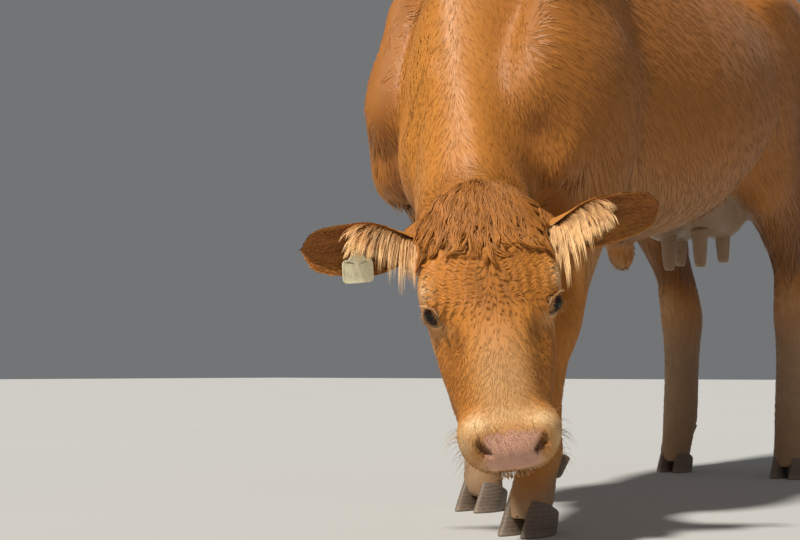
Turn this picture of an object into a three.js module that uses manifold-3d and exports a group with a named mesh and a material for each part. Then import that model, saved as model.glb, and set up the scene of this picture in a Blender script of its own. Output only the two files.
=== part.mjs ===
// A grazing beef cow, life size, in millimetres, +Z up, standing on the plane Z = 0 and facing -Y.
// Flesh is one smooth body, worked out as a distance field of lofts and lumps. Each part is a sleeve
// laid over that field, and neighbours are cut apart with a thin gap.
import * as THREE from "three";
import { mergeVertices } from "three/addons/utils/BufferGeometryUtils.js";
import Module from "manifold-3d";

const wasm = await Module();
wasm.setup();

// ---- driving dimensions ----
const GAP = 0.35; // between neighbouring parts
const HEADING = 37.5; // degrees the head is turned to the cow's left
const HEAD_LEAN = 13; // degrees the poll lies behind the muzzle
const HEAD_TILT = 6.2; // degrees the poll leans to the cow's right
const HEAD_SIZE = 0.965; // against the numbers of the head below
const POLL = [184, -929, 600]; // crown of the skull between the ears
const EYE = { x: 98.5, y: -8.5, z: -209, radius: 20.5 };
const EAR = { length: 228, half: 53, wall: 10 };
const NAPE = { normal: [0, 0.55, 0.835], reach: 80 }; // the plane between head and neck, in the head's frame
const NECK_ROOT = [0, -555, 1015];
const NECK_END = [0, 92, -62]; // in the head's frame
const CLAW = { length: 112, width: 52, height: 70, heel: 34, gap: 4 };
const DEWCLAW = 124; // their height above the ground
const TEAT = { length: 80, top: 24, tip: 14 };
const TAG = { width: 56, height: 41, thick: 2.4, neck: 41, pin: 3, button: 13 };
const SKIRT = 0.5; // share of a blend's width that a limb's own solid takes from the trunk

const rad = THREE.MathUtils.degToRad;
const V = (x, y, z) => new THREE.Vector3(x, y, z);

// ---- the head's frame: x to the cow's left, y from the face backwards, z from the muzzle to the poll ----
const headFrame = new THREE.Matrix4()
  .makeRotationFromEuler(new THREE.Euler(rad(-HEAD_LEAN), rad(-HEAD_TILT), rad(HEADING), "ZYX"))
  .scale(V(HEAD_SIZE, HEAD_SIZE, HEAD_SIZE))
  .setPosition(...POLL);
const fromHead = (x, y, z) => V(x, y, z).applyMatrix4(headFrame);

// ---- distance fields ----

// Smooth union of two distances, blended over about k millimetres.
function blend(a, b, k) {
  const h = Math.max(k - Math.abs(a - b), 0) / k;
  return Math.min(a, b) - (h * h * k) / 4;
}

// An ellipsoid, turned by Euler degrees.
function lump(centre, radii, turn = [0, 0, 0]) {
  const back = new THREE.Matrix4()
    .makeRotationFromEuler(new THREE.Euler(...turn.map(rad)))
    .setPosition(...centre)
    .invert();
  const q = V(0, 0, 0);
  return (p) => {
    q.copy(p).applyMatrix4(back);
    const k = Math.hypot(q.x / radii[0], q.y / radii[1], q.z / radii[2]);
    return k < 1e-6 ? -Math.min(...radii) : q.length() * (1 - 1 / k);
  };
}

// The same lump on both sides of the plane x = 0.
function pair(centre, radii, turn) {
  const one = lump(centre, radii, turn);
  const q = V(0, 0, 0);
  return (p) => one(q.set(Math.abs(p.x), p.y, p.z));
}

const DEFAULTS = { x: 0, y: 0, w: 10, lo: 10, hi: 10, nLo: 2, nHi: 2, turn: 0 };
const KEYS = Object.keys(DEFAULTS);

// A loft along its frame's z axis. Each station gives the section's centre x, y, its half width w, how far it
// reaches to -y (lo) and +y (hi), the roundness of each side and its turn about the axis in degrees.
class Loft {
  constructor(frame, stations) {
    this.frame = frame;
    this.back = frame.clone().invert();
    this.stations = stations.map((s) => ({ ...DEFAULTS, ...s })).sort((a, b) => a.z - b.z);
    this.first = this.stations[0].z;
    this.last = this.stations.at(-1).z;
  }

  // Each value at height z, on a smooth curve through the stations.
  at(z) {
    const rows = this.stations;
    const top = rows.length - 1;
    let i = 0;
    while (i < top - 1 && z > rows[i + 1].z) i++;
    const [a, b] = [rows[i], rows[i + 1]];
    const step = b.z - a.z;
    const t = THREE.MathUtils.clamp((z - a.z) / step, 0, 1);
    const before = rows[Math.max(i - 1, 0)];
    const after = rows[Math.min(i + 2, top)];
    const [t2, t3] = [t * t, t * t * t];
    const made = {};
    for (const key of KEYS) {
      const rise = (from, to) => (to.z > from.z ? (to[key] - from[key]) / (to.z - from.z) : 0);
      const start = rise(before, b) * step;
      const end = rise(a, after) * step;
      const values = (2 * t3 - 3 * t2 + 1) * a[key] + (3 * t2 - 2 * t3) * b[key];
      made[key] = values + (t3 - 2 * t2 + t) * start + (t3 - t2) * end;
    }
    return made;
  }

  // Distance of a world point from the loft's wall, measured in the section from its centre.
  distance(p) {
    const q = V(p.x, p.y, p.z).applyMatrix4(this.back);
    const c = this.at(q.z);
    const turn = rad(c.turn);
    const [dx, dy] = [q.x - c.x, q.y - c.y];
    const x = Math.abs(dx * Math.cos(turn) + dy * Math.sin(turn));
    const y = dy * Math.cos(turn) - dx * Math.sin(turn);
    const [reach, n] = y < 0 ? [c.lo, c.nLo] : [c.hi, c.nHi];
    const [across, up] = [x / Math.max(c.w, 1), Math.abs(y) / Math.max(reach, 1)];
    const k = Math.pow(Math.pow(across, n) + Math.pow(up, n), 1 / n);
    const inside = k < 1e-6 ? -Math.min(c.w, reach) : Math.hypot(dx, dy) * (1 - 1 / k);
    const over = q.z - THREE.MathUtils.clamp(q.z, this.first, this.last);
    return over ? Math.hypot(Math.max(inside, 0), over) : inside;
  }
}

// ---- trunk: z of its loft runs forward, y runs up ----
const trunkFrame = new THREE.Matrix4().makeBasis(V(1, 0, 0), V(0, 0, 1), V(0, -1, 0));
const girth = (fore, top, keel, widest, w, roof = 2, floor = 2) => ({
  z: fore,
  y: widest,
  w,
  lo: widest - keel,
  hi: top - widest,
  nLo: floor,
  nHi: roof,
});
const trunkLoft = new Loft(trunkFrame, [
  girth(812, 905, 690, 800, 40),
  girth(785, 985, 640, 810, 84),
  girth(735, 1085, 606, 830, 128),
  girth(670, 1180, 590, 865, 176, 1.9),
  girth(590, 1262, 582, 900, 226, 1.85),
  girth(480, 1325, 580, 915, 262, 1.8),
  girth(320, 1340, 584, 915, 292, 1.9),
  girth(140, 1338, 600, 905, 325, 2.0),
  girth(-50, 1340, 628, 910, 336, 2.15, 1.85),
  girth(-200, 1352, 664, 930, 322, 2.4, 1.7),
  girth(-330, 1372, 712, 990, 304, 2.8, 1.6),
  girth(-450, 1392, 760, 1040, 298, 3.2, 1.7),
  girth(-580, 1408, 800, 1090, 294, 3.6),
  girth(-700, 1411, 840, 1120, 280, 3.6),
  girth(-785, 1402, 905, 1150, 250, 3.2),
  girth(-848, 1374, 975, 1160, 196, 2.8),
  girth(-890, 1306, 1060, 1180, 90),
]);

// Muscle and bone that stand proud of the barrel, on both sides.
const TRUNK_LUMPS = [
  { name: "shoulder blade", at: [186, -590, 1015], r: [66, 128, 178], turn: [-24, 8, 0] },
  { name: "point of shoulder", at: [172, -700, 885], r: [68, 78, 120], turn: [-20, 0, 0] },
  { name: "upper arm", at: [200, -645, 765], r: [64, 80, 120], turn: [-25, 0, 0] },
  { name: "triceps", at: [214, -560, 865], r: [72, 150, 145], turn: [28, 0, 0] },
  { name: "hook bone", at: [236, 430, 1290], r: [62, 100, 60], turn: [0, 20, 0] },
  { name: "rump", at: [170, 650, 1240], r: [124, 225, 160] },
  { name: "thigh", at: [168, 640, 985], r: [108, 215, 270], turn: [6, 0, 0] },
  { name: "quadriceps", at: [200, 440, 905], r: [84, 118, 185], turn: [16, 0, 0] },
  { name: "stifle fold", at: [196, 350, 885], r: [36, 90, 70], turn: [-38, 0, 0] },
  { name: "pin bone", at: [128, 826, 1265], r: [54, 54, 66] },
  { name: "brisket", at: [52, -720, 705], r: [68, 96, 112], turn: [30, 0, 0] },
].map((m) => pair(m.at, m.r, m.turn));
const navelFold = lump([0, -10, 600], [26, 66, 54]);

function trunkField(p) {
  let d = trunkLoft.distance(p);
  for (const muscle of TRUNK_LUMPS) d = blend(d, muscle(p), 70);
  return blend(d, navelFold(p), 40);
}

// ---- legs: the loft runs up the leg, y runs backwards ----
const FORE_STATIONS = [
  { z: 30, x: 158, y: -634, w: 44, lo: 46, hi: 40 },
  { z: 58, x: 158, y: -630, w: 47, lo: 50, hi: 44 },
  { z: 88, x: 158, y: -622, w: 45, lo: 47, hi: 45 },
  { z: 118, x: 158, y: -612, w: 43, lo: 43, hi: 44 },
  { z: 150, x: 159, y: -606, w: 44, lo: 42, hi: 49 },
  { z: 185, x: 160, y: -604, w: 38, lo: 37, hi: 43 },
  { z: 250, x: 160, y: -600, w: 34, lo: 35, hi: 39 },
  { z: 320, x: 161, y: -592, w: 37, lo: 38, hi: 41 },
  { z: 352, x: 162, y: -588, w: 48, lo: 47, hi: 44 },
  { z: 392, x: 163, y: -585, w: 56, lo: 53, hi: 51 },
  { z: 430, x: 165, y: -580, w: 54, lo: 52, hi: 62 },
  { z: 475, x: 168, y: -570, w: 52, lo: 52, hi: 70 },
  { z: 545, x: 173, y: -556, w: 59, lo: 64, hi: 90 },
  { z: 625, x: 181, y: -545, w: 70, lo: 86, hi: 108 },
  { z: 700, x: 189, y: -534, w: 80, lo: 112, hi: 120 },
  { z: 765, x: 193, y: -534, w: 80, lo: 122, hi: 122 },
  { z: 840, x: 193, y: -545, w: 72, lo: 115, hi: 112 },
  { z: 920, x: 190, y: -570, w: 55, lo: 80, hi: 80 },
];
const HIND_STATIONS = [
  { z: 30, x: 176, y: 690, w: 44, lo: 46, hi: 40 },
  { z: 58, x: 176, y: 698, w: 48, lo: 54, hi: 45 },
  { z: 88, x: 176, y: 709, w: 49, lo: 53, hi: 48 },
  { z: 118, x: 176, y: 720, w: 51, lo: 54, hi: 53 },
  { z: 155, x: 176, y: 732, w: 54, lo: 56, hi: 64 },
  { z: 195, x: 176, y: 739, w: 55, lo: 57, hi: 61 },
  { z: 260, x: 176, y: 748, w: 54, lo: 61, hi: 62 },
  { z: 330, x: 177, y: 757, w: 55, lo: 64, hi: 64 },
  { z: 400, x: 178, y: 766, w: 59, lo: 71, hi: 69 },
  { z: 455, x: 179, y: 771, w: 65, lo: 81, hi: 73 },
  { z: 500, x: 180, y: 766, w: 64, lo: 89, hi: 82 },
  { z: 545, x: 182, y: 750, w: 57, lo: 94, hi: 108 },
  { z: 580, x: 183, y: 735, w: 52, lo: 94, hi: 118 },
  { z: 620, x: 185, y: 712, w: 54, lo: 100, hi: 116 },
  { z: 670, x: 188, y: 678, w: 64, lo: 116, hi: 122 },
  { z: 730, x: 191, y: 636, w: 76, lo: 142, hi: 146 },
  { z: 790, x: 192, y: 605, w: 84, lo: 165, hi: 172 },
  { z: 860, x: 190, y: 595, w: 88, lo: 170, hi: 188 },
  { z: 940, x: 185, y: 600, w: 84, lo: 150, hi: 180 },
];
const FORE_PIVOT = 700; // the height at which each leg starts to leave its plain upright stance
const HIND_PIVOT = 860;

// A leg on the side left (+1) or right (-1), whose foot is moved by dx, dy from its plain place.
function leg(stations, side, pivot, dx, dy) {
  const sway = (z) => Math.max(0, (pivot - z) / pivot);
  const posed = stations.map((s) => ({ ...s, x: side * s.x + dx * sway(s.z), y: s.y + dy * sway(s.z) }));
  return new Loft(new THREE.Matrix4(), posed);
}
const LEGS = {
  fore_left: { loft: leg(FORE_STATIONS, 1, FORE_PIVOT, -6, -85) },
  fore_right: { loft: leg(FORE_STATIONS, -1, FORE_PIVOT, 45, 185) },
  hind_left: { loft: leg(HIND_STATIONS, 1, HIND_PIVOT, -8, -8) },
  hind_right: { loft: leg(HIND_STATIONS, -1, HIND_PIVOT, 4, -18) },
};

// ---- neck: the loft runs from the trunk to the head, y runs to the crest ----
const neckRoot = V(...NECK_ROOT);
const neckEnd = fromHead(...NECK_END);
const neckLength = neckRoot.distanceTo(neckEnd);
const neckAlong = neckEnd.clone().sub(neckRoot).normalize();
const neckAcross = V(1, 0, 0).addScaledVector(neckAlong, -neckAlong.x).normalize();
const neckFrame = new THREE.Matrix4()
  .makeBasis(neckAcross, neckAlong.clone().cross(neckAcross), neckAlong)
  .setPosition(neckRoot);
const headSide = V(1, 0, 0).transformDirection(headFrame).transformDirection(neckFrame.clone().invert());
const TWIST = THREE.MathUtils.radToDeg(Math.atan2(headSide.y, headSide.x)); // of the neck, from trunk to head
const collar = (share, w, throat, crest, x) => ({
  z: share * neckLength,
  x,
  w,
  lo: throat,
  hi: crest,
  turn: TWIST * THREE.MathUtils.smoothstep(share, 0.05, 0.95),
  nHi: 1.75,
});
const neckLoft = new Loft(neckFrame, [
  collar(-0.3, 112, 250, 172, 0),
  collar(0, 120, 262, 226, -12),
  collar(0.25, 122, 225, 196, -24),
  collar(0.5, 124, 186, 166, -30),
  collar(0.72, 123, 156, 146, -28),
  collar(0.9, 116, 134, 140, -14),
  collar(1.05, 105, 112, 108, 0),
]);

// ---- head, in its own frame ----
const headLoft = new Loft(headFrame, [
  { z: 50, y: 70, w: 28, lo: 32, hi: 30 },
  { z: 38, y: 66, w: 58, lo: 56, hi: 48 },
  { z: 12, y: 58, w: 84, lo: 84, hi: 76 },
  { z: -28, y: 50, w: 101, lo: 97, hi: 88, nLo: 2.2 },
  { z: -70, y: 45, w: 111, lo: 101, hi: 90, nLo: 2.4 },
  { z: -115, y: 42, w: 119, lo: 100, hi: 92, nLo: 2.6 },
  { z: -152, y: 40, w: 121, lo: 98, hi: 96, nLo: 2.6 },
  { z: -188, y: 38, w: 118, lo: 94, hi: 100, nLo: 2.4 },
  { z: -228, y: 37, w: 113, lo: 92, hi: 100, nLo: 2.1 },
  { z: -268, y: 35, w: 109, lo: 88, hi: 96, nLo: 1.85 },
  { z: -308, y: 32, w: 103, lo: 84, hi: 88, nLo: 1.8 },
  { z: -345, y: 29, w: 95, lo: 78, hi: 78, nLo: 1.85 },
  { z: -378, y: 25, w: 87, lo: 72, hi: 70, nLo: 2.0 },
  { z: -408, y: 21, w: 85, lo: 68, hi: 64, nLo: 2.2 },
  { z: -436, y: 17, w: 87, lo: 62, hi: 60, nLo: 2.3 },
  { z: -460, y: 14, w: 80, lo: 54, hi: 52, nLo: 2.2 },
  { z: -478, y: 12, w: 62, lo: 38, hi: 38 },
  { z: -488, y: 11, w: 36, lo: 20, hi: 20 },
]);
const HEAD_LUMPS = [
  { name: "brow", at: [98, -2, -164], r: [30, 38, 40] },
  { name: "eye socket", at: [96, 8, -204], r: [24, 32, 34] },
  { name: "cheek", at: [66, 96, -205], r: [48, 78, 100], turn: [-10, 0, 0] },
  { name: "jaw bone", at: [54, 84, -310], r: [38, 42, 120], turn: [-17, 0, 0] },
  { name: "ear root", at: [112, 62, -50], r: [42, 36, 38] },
  { name: "poll", at: [0, 34, -12], r: [92, 68, 50] },
  { name: "nostril wing", at: [56, -14, -416], r: [31, 30, 34] },
  { name: "chin", at: [0, 50, -436], r: [52, 34, 40] },
].map((m) => pair(m.at, m.r, m.turn));
const inHead = headFrame.clone().invert();

function headField(p) {
  const q = V(p.x, p.y, p.z).applyMatrix4(inHead);
  let d = headLoft.distance(p);
  for (const part of HEAD_LUMPS) d = blend(d, part(q), 26);
  return d;
}

// ---- udder and tail ----
const udderField = (() => {
  const quarters = [-1, 1].flatMap((side) => [
    lump([side * 58, 375, 762], [76, 112, 98], [-8, 0, 0]),
    lump([side * 62, 480, 782], [80, 108, 112]),
  ]);
  return (p) => quarters.map((q) => q(p)).reduce((a, b) => blend(a, b, 26));
})();
const TEATS = {
  front_left: [66, 330, 660],
  front_right: [-42, 372, 660],
  rear_left: [70, 484, 684],
  rear_right: [-60, 490, 682],
};
const tailLoft = new Loft(new THREE.Matrix4(), [
  { z: 1400, y: 785, w: 42, lo: 40, hi: 30 },
  { z: 1366, y: 846, w: 42, lo: 50, hi: 36 },
  { z: 1310, x: 4, y: 888, w: 36, lo: 50, hi: 30 },
  { z: 1225, x: 14, y: 912, w: 30, lo: 40, hi: 26 },
  { z: 1090, x: 40, y: 924, w: 26, lo: 27, hi: 23 },
  { z: 900, x: 84, y: 928, w: 22, lo: 22, hi: 20 },
  { z: 740, x: 122, y: 928, w: 19, lo: 19, hi: 18 },
  { z: 600, x: 152, y: 928, w: 17, lo: 17, hi: 17 },
]);
const switchLoft = new Loft(new THREE.Matrix4(), [
  { z: 640, x: 144, y: 928, w: 19, lo: 19, hi: 19 },
  { z: 590, x: 153, y: 928, w: 27, lo: 27, hi: 26 },
  { z: 520, x: 166, y: 928, w: 40, lo: 40, hi: 36 },
  { z: 440, x: 178, y: 926, w: 48, lo: 46, hi: 42 },
  { z: 360, x: 187, y: 923, w: 44, lo: 42, hi: 38 },
  { z: 300, x: 192, y: 920, w: 28, lo: 28, hi: 26 },
  { z: 262, x: 194, y: 918, w: 8, lo: 8, hi: 8 },
]);

const BLEND = { leg: 55, udder: 36, tail: 24, neck: 64, head: 46 };

// The whole body of flesh.
function bodyField(p) {
  let d = trunkField(p);
  for (const { loft } of Object.values(LEGS)) d = blend(d, loft.distance(p), BLEND.leg);
  d = blend(d, udderField(p), BLEND.udder);
  d = blend(d, tailLoft.distance(p), BLEND.tail);
  const front = blend(neckLoft.distance(p), headField(p), BLEND.head);
  return blend(d, front, BLEND.neck);
}

// The body near one limb: within part of the blend's width of the limb's own field.
const near = (limb, width) => (p) => Math.max(bodyField(p), limb(p) - SKIRT * width);

// The plane between head and neck: how far a world point lies on the neck's side of it.
const napeNormal = V(...NAPE.normal).transformDirection(headFrame);
const napeOffset = napeNormal.dot(fromHead(...NAPE.normal.map((n) => n * NAPE.reach)));
const behindNape = (p) => napeNormal.dot(p) - napeOffset;

// ---- from fields to solids ----
const solidOf = (geometry) => {
  for (const name of ["normal", "uv"]) geometry.deleteAttribute(name);
  const merged = mergeVertices(geometry, 1e-3);
  return new wasm.Manifold(
    new wasm.Mesh({
      numProp: 3,
      vertProperties: merged.attributes.position.array,
      triVerts: new Uint32Array(merged.index.array),
    }),
  );
};
const largest = (solid) => solid.decompose().reduce((a, b) => (b.volume() > a.volume() ? b : a));

// How far along a ray from an inside point the field is crossed, at most reach away.
function cast(field, from, towards, reach) {
  const p = V(0, 0, 0);
  const value = (r) => field(p.copy(from).addScaledVector(towards, r));
  let [near, far] = [0, 0];
  let d = value(0);
  while (d < 0 && far < reach) {
    near = far;
    far = Math.min(reach, far + THREE.MathUtils.clamp(-d * 0.6, 1.5, 24));
    d = value(far);
  }
  if (d < 0) return reach;
  for (let i = 0; i < 14; i++) {
    const middle = (near + far) / 2;
    if (value(middle) < 0) near = middle;
    else far = middle;
  }
  return (near + far) / 2;
}

// A closed sleeve round a loft's middle line, whose rings lie on the field grown by some millimetres.
// Rings stand at each of the given heights, and no ring is wider than reach(z).
function sleeve(loft, field, heights, sectors, { grow = 0, reach = () => 600 } = {}) {
  const rise = [...heights].sort((a, b) => a - b);
  const grown = (p) => field(p) - grow;
  const points = [];
  for (const z of rise) {
    const c = loft.at(z);
    const centre = V(c.x, c.y, z).applyMatrix4(loft.frame);
    for (let j = 0; j < sectors; j++) {
      const angle = (2 * Math.PI * j) / sectors + rad(c.turn);
      const ray = V(Math.cos(angle), Math.sin(angle), 0).transformDirection(loft.frame);
      const r = Math.max(cast(grown, centre, ray, reach(z)), 1.2);
      points.push(centre.clone().addScaledVector(ray, r));
    }
  }
  const ends = [rise[0], rise.at(-1)].map((z) => {
    const c = loft.at(z);
    return V(c.x, c.y, z).applyMatrix4(loft.frame);
  });
  return closeRings(points, rise.length, sectors, ends);
}

// Rings of points, bottom to top, closed at both ends with a fan to a middle point.
function closeRings(points, rings, sectors, ends) {
  const all = [...points, ...ends];
  const [foot, top] = [points.length, points.length + 1];
  const faces = [];
  for (let j = 0; j < sectors; j++) {
    const k = (j + 1) % sectors;
    for (let i = 0; i < rings - 1; i++) {
      const [a, b] = [i * sectors + j, i * sectors + k];
      faces.push(a, b, b + sectors, a, b + sectors, a + sectors);
    }
    faces.push(foot, k, j);
    const last = (rings - 1) * sectors;
    faces.push(top, last + j, last + k);
  }
  const geometry = new THREE.BufferGeometry().setFromPoints(all);
  return geometry.setIndex(faces);
}

const spread = (from, to, count) =>
  Array.from({ length: count }, (_, i) => from + ((to - from) * i) / (count - 1));

// Each station of a loft between two heights, and points between them at most step apart.
function ringsOf(loft, from, to, step) {
  const marks = [from, ...loft.stations.map((s) => s.z).filter((z) => z > from + 4 && z < to - 4), to];
  const made = [];
  for (let i = 0; i < marks.length - 1; i++) {
    const parts = Math.max(1, Math.ceil((marks[i + 1] - marks[i]) / step));
    for (let k = 0; k < parts; k++) made.push(marks[i] + ((marks[i + 1] - marks[i]) * k) / parts);
  }
  return [...made, to];
}

// ---- finishes ----
const coat = new THREE.MeshStandardMaterial({ color: 0xb4682c, roughness: 0.75, metalness: 0 });
const paleCoat = new THREE.MeshStandardMaterial({ color: 0xc9a27a, roughness: 0.8, metalness: 0 });
const eyeGloss = new THREE.MeshStandardMaterial({ color: 0x1d120c, roughness: 0.1, metalness: 0 });
const hornGrey = new THREE.MeshStandardMaterial({ color: 0x6b5a48, roughness: 0.55, metalness: 0 });
const udderSkin = new THREE.MeshStandardMaterial({ color: 0xd8b79a, roughness: 0.6, metalness: 0 });
const tagPlastic = new THREE.MeshStandardMaterial({ color: 0xe8e2c4, roughness: 0.35, metalness: 0 });

const cow = new THREE.Group();
function add(name, solid, material) {
  const mesh = largest(solid).getMesh();
  const geometry = new THREE.BufferGeometry()
    .setAttribute("position", new THREE.BufferAttribute(mesh.vertProperties, 3))
    .setIndex(new THREE.BufferAttribute(mesh.triVerts, 1));
  geometry.computeVertexNormals();
  const made = new THREE.Mesh(geometry, material);
  made.name = name;
  cow.add(made);
}

// ---- trunk ----
const trunkRings = ringsOf(trunkLoft, -888, 810, 100);
const trunkSolid = (grow) => solidOf(sleeve(trunkLoft, trunkField, trunkRings, 26, { grow }));
const roundTrunk = trunkSolid(GAP);
add("trunk", trunkSolid(0), coat);

// ---- head, eyes and neck ----
const headFlesh = (p) => Math.max(bodyField(p), behindNape(p) - 6);
const headRings = ringsOf(headLoft, -486, 48, 60);
const headSolid = (grow) =>
  solidOf(sleeve(headLoft, headFlesh, headRings, 20, { grow, reach: () => 260 })).trimByPlane(
    napeNormal.clone().negate().toArray(),
    -napeOffset - grow,
  );
const eyeBall = (side, grow) => {
  const ball = new THREE.SphereGeometry(EYE.radius + grow, 10, 8);
  return solidOf(ball.translate(side * EYE.x, EYE.y, EYE.z).applyMatrix4(headFrame));
};
let head = headSolid(0);
for (const side of [1, -1]) head = head.subtract(eyeBall(side, GAP));
add("head", head, coat);
add("eye_left", eyeBall(1, 0), eyeGloss);
add("eye_right", eyeBall(-1, 0), eyeGloss);
const roundHead = headSolid(GAP);

const neckFlesh = (p) => Math.max(near((q) => neckLoft.distance(q), BLEND.neck)(p), -behindNape(p) - 30);
const neckRings = spread(-0.28 * neckLength, neckLength, 14);
const neckSolid = (grow) =>
  solidOf(sleeve(neckLoft, neckFlesh, neckRings, 20, { grow, reach: () => 330 })).trimByPlane(
    napeNormal.toArray(),
    napeOffset + GAP - grow,
  );
add("neck", neckSolid(0).subtract(roundTrunk), coat);
const roundNeck = neckSolid(GAP);

// ---- ears ----

// An ear's frame: z runs from its root to its tip, y points out of the cup's mouth.
function earFrame(side, droop, forward, open) {
  const along = V(side * Math.cos(rad(droop)), -Math.sin(rad(forward)), -Math.sin(rad(droop))).normalize();
  const mouth = V(0, -Math.cos(rad(open)), -Math.sin(rad(open)));
  mouth.addScaledVector(along, -mouth.dot(along)).normalize();
  return new THREE.Matrix4()
    .makeBasis(mouth.clone().cross(along), mouth, along)
    .setPosition(side * 100, 60, -50)
    .premultiply(headFrame);
}
// Half the ear's width round its curve, and half the angle that its cup takes, at a share u of its length.
const earBlunt = (u) => 0.55 - 0.29 * THREE.MathUtils.smoothstep(u, 0.3, 0.8);
const earHalf = (u) => EAR.half * Math.pow(Math.sin(Math.PI * Math.pow(0.1 + 0.9 * u, 0.95)), earBlunt(u)) + 3;
const earCurl = (u) => rad(140 - 92 * THREE.MathUtils.smoothstep(u, 0, 0.55) - 18 * u);

// A point of the ear at share u along and v across (-1 to 1), some millimetres outside its middle surface.
function earPoint(frame, u, v, offset) {
  const radius = earHalf(u) / earCurl(u);
  const [r, angle] = [radius + offset, earCurl(u) * v];
  return V(r * Math.sin(angle), radius - r * Math.cos(angle), u * EAR.length).applyMatrix4(frame);
}
function ear(frame) {
  const [rings, across] = [10, 6];
  const points = [];
  for (const u of spread(0.02, 0.995, rings)) {
    const wall = EAR.wall * (1 - 0.45 * u);
    for (let j = 0; j <= across; j++) points.push(earPoint(frame, u, (2 * j) / across - 1, wall / 2));
    for (let j = across; j >= 0; j--) points.push(earPoint(frame, u, (2 * j) / across - 1, -wall / 2));
  }
  const ends = [0.02, 0.995].map((u) => earPoint(frame, u, 0, 0));
  return solidOf(closeRings(points, rings, 2 * (across + 1), ends));
}
const EARS = { left: earFrame(1, -2, 12, 50), right: earFrame(-1, 2, 12, 36) };
const STUD = { u: 0.585, v: -0.62 };

// ---- ear tag: a plate that hangs in the cup of the right ear, held by a stud with a button outside ----
const studOut = earPoint(EARS.right, STUD.u, STUD.v, EAR.wall / 2 + 2);
const studIn = earPoint(EARS.right, STUD.u, STUD.v, -EAR.wall / 2 - 11);
const lip = earPoint(EARS.right, STUD.u, 1, -EAR.wall / 2 - 16);
const down = lip.clone().sub(studIn).normalize();
const studAxis = studOut.clone().sub(studIn);
studAxis.addScaledVector(down, -studAxis.dot(down)).normalize();
const tagFrame = (at) =>
  new THREE.Matrix4().makeBasis(down.clone().cross(studAxis), down, studAxis).setPosition(at);
const rod = (radius, from, to) =>
  new THREE.CylinderGeometry(radius, radius, to - from, 10).rotateX(rad(90)).translate(0, 0, (from + to) / 2);
const studLength = studOut.distanceTo(studIn);

function tagPlate() {
  const { width: w, height: h, neck, thick } = TAG;
  const half = [[9, -9], [10, neck * 0.6], [w / 2 - 5, neck], [w / 2, neck + 6]];
  half.push([w / 2, neck + h - 5], [w / 2 - 5, neck + h]);
  const mirrored = [...half].reverse().map(([x, y]) => [-x, y]);
  const outline = new THREE.Shape([...half, ...mirrored].map(([x, y]) => new THREE.Vector2(x, y)));
  const plate = new THREE.ExtrudeGeometry(outline, { depth: thick, bevelEnabled: false });
  const hole = rod(TAG.pin + GAP, -5, thick + 5);
  return solidOf(plate.applyMatrix4(tagFrame(studIn))).subtract(solidOf(hole.applyMatrix4(tagFrame(studIn))));
}
const studPart = (grow) => {
  const parts = [
    rod(TAG.pin + grow, -3, studLength + 2),
    rod(TAG.pin + 4 + grow, -3 - grow, -0.5 + grow),
    rod(TAG.button + grow, studLength - 0.5 - grow, studLength + 2.5 + grow),
  ];
  return parts.map((g) => solidOf(g.applyMatrix4(tagFrame(studIn)))).reduce((a, b) => a.add(b));
};
const plate = tagPlate();
add("ear_tag_plate", plate, tagPlastic);
add("ear_tag_stud", studPart(0), tagPlastic);
for (const [side, frame] of Object.entries(EARS)) {
  let solid = ear(frame).subtract(roundHead).subtract(roundNeck);
  if (side === "right") solid = solid.subtract(studPart(GAP));
  add("ear_" + side, solid, coat);
}

// ---- claws: two main claws and two dewclaws on each foot ----

// One claw, its sole flat on the ground. Rings rise from the sole to the coronet and lean back with the foot.
function claw(side, foot, grow) {
  const [rings, around] = [4, 12];
  const points = [];
  for (let i = 0; i < rings; i++) {
    const h = i / (rings - 1);
    const length = CLAW.length * (1 - 0.28 * h) + 2 * grow;
    const width = CLAW.width * (1 - 0.12 * h) * (i === 0 ? 0.95 : 1) + 2 * grow;
    for (let j = 0; j < around; j++) {
      const angle = (2 * Math.PI * j) / around;
      const [across, toe] = [-Math.sin(angle), -Math.cos(angle)];
      const taper = toe > 0 ? 1 - 0.3 * toe * toe : 1;
      const flat = across * side < 0 ? 0.7 : 1;
      const rise = CLAW.height - CLAW.heel * (0.5 - 0.5 * toe) + 2 * grow;
      points.push(V(across * (width / 2) * taper * flat, -toe * (length / 2) + h * 26, h * rise));
    }
  }
  const ends = [V(0, 0, 0), V(0, 26, CLAW.height - CLAW.heel / 2 + 2 * grow)];
  const made = closeRings(points, rings, around, ends);
  return solidOf(made.translate(foot.x + (side * (CLAW.width * 0.8 + CLAW.gap)) / 2, foot.y - 18, -grow));
}
const dewclaw = (side, at, grow) => {
  const horn = new THREE.CylinderGeometry(5 + grow, 15 + grow, 44 + 2 * grow, 8, 1);
  return solidOf(horn.rotateX(rad(-118)).translate(at.x + side * 20, at.y + 46, DEWCLAW - 6));
};

// ---- legs ----
const legSolid = (name, loft, grow) => {
  const [top, wide] = name.startsWith("fore") ? [760, 150] : [830, 240];
  const field = near((p) => loft.distance(p), BLEND.leg);
  return solidOf(sleeve(loft, field, ringsOf(loft, 40, top, 80), 12, { grow, reach: () => wide }));
};
let roundHind = null;
for (const [name, { loft }] of Object.entries(LEGS)) {
  const [foot, pastern] = [loft.at(58), loft.at(DEWCLAW)];
  const outward = Math.sign(foot.x);
  let solid = legSolid(name, loft, 0).subtract(roundTrunk).subtract(roundNeck);
  for (const [place, side] of [["outer", outward], ["inner", -outward]]) {
    add("claw_" + name + "_" + place, claw(side, foot, 0), hornGrey);
    add("dewclaw_" + name + "_" + place, dewclaw(side, pastern, 0), hornGrey);
    solid = solid.subtract(claw(side, foot, GAP)).subtract(dewclaw(side, pastern, GAP));
  }
  add("leg_" + name, solid, paleCoat);
  if (name.startsWith("hind")) {
    const round = legSolid(name, loft, GAP);
    roundHind = roundHind ? roundHind.add(round) : round;
  }
}

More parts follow.
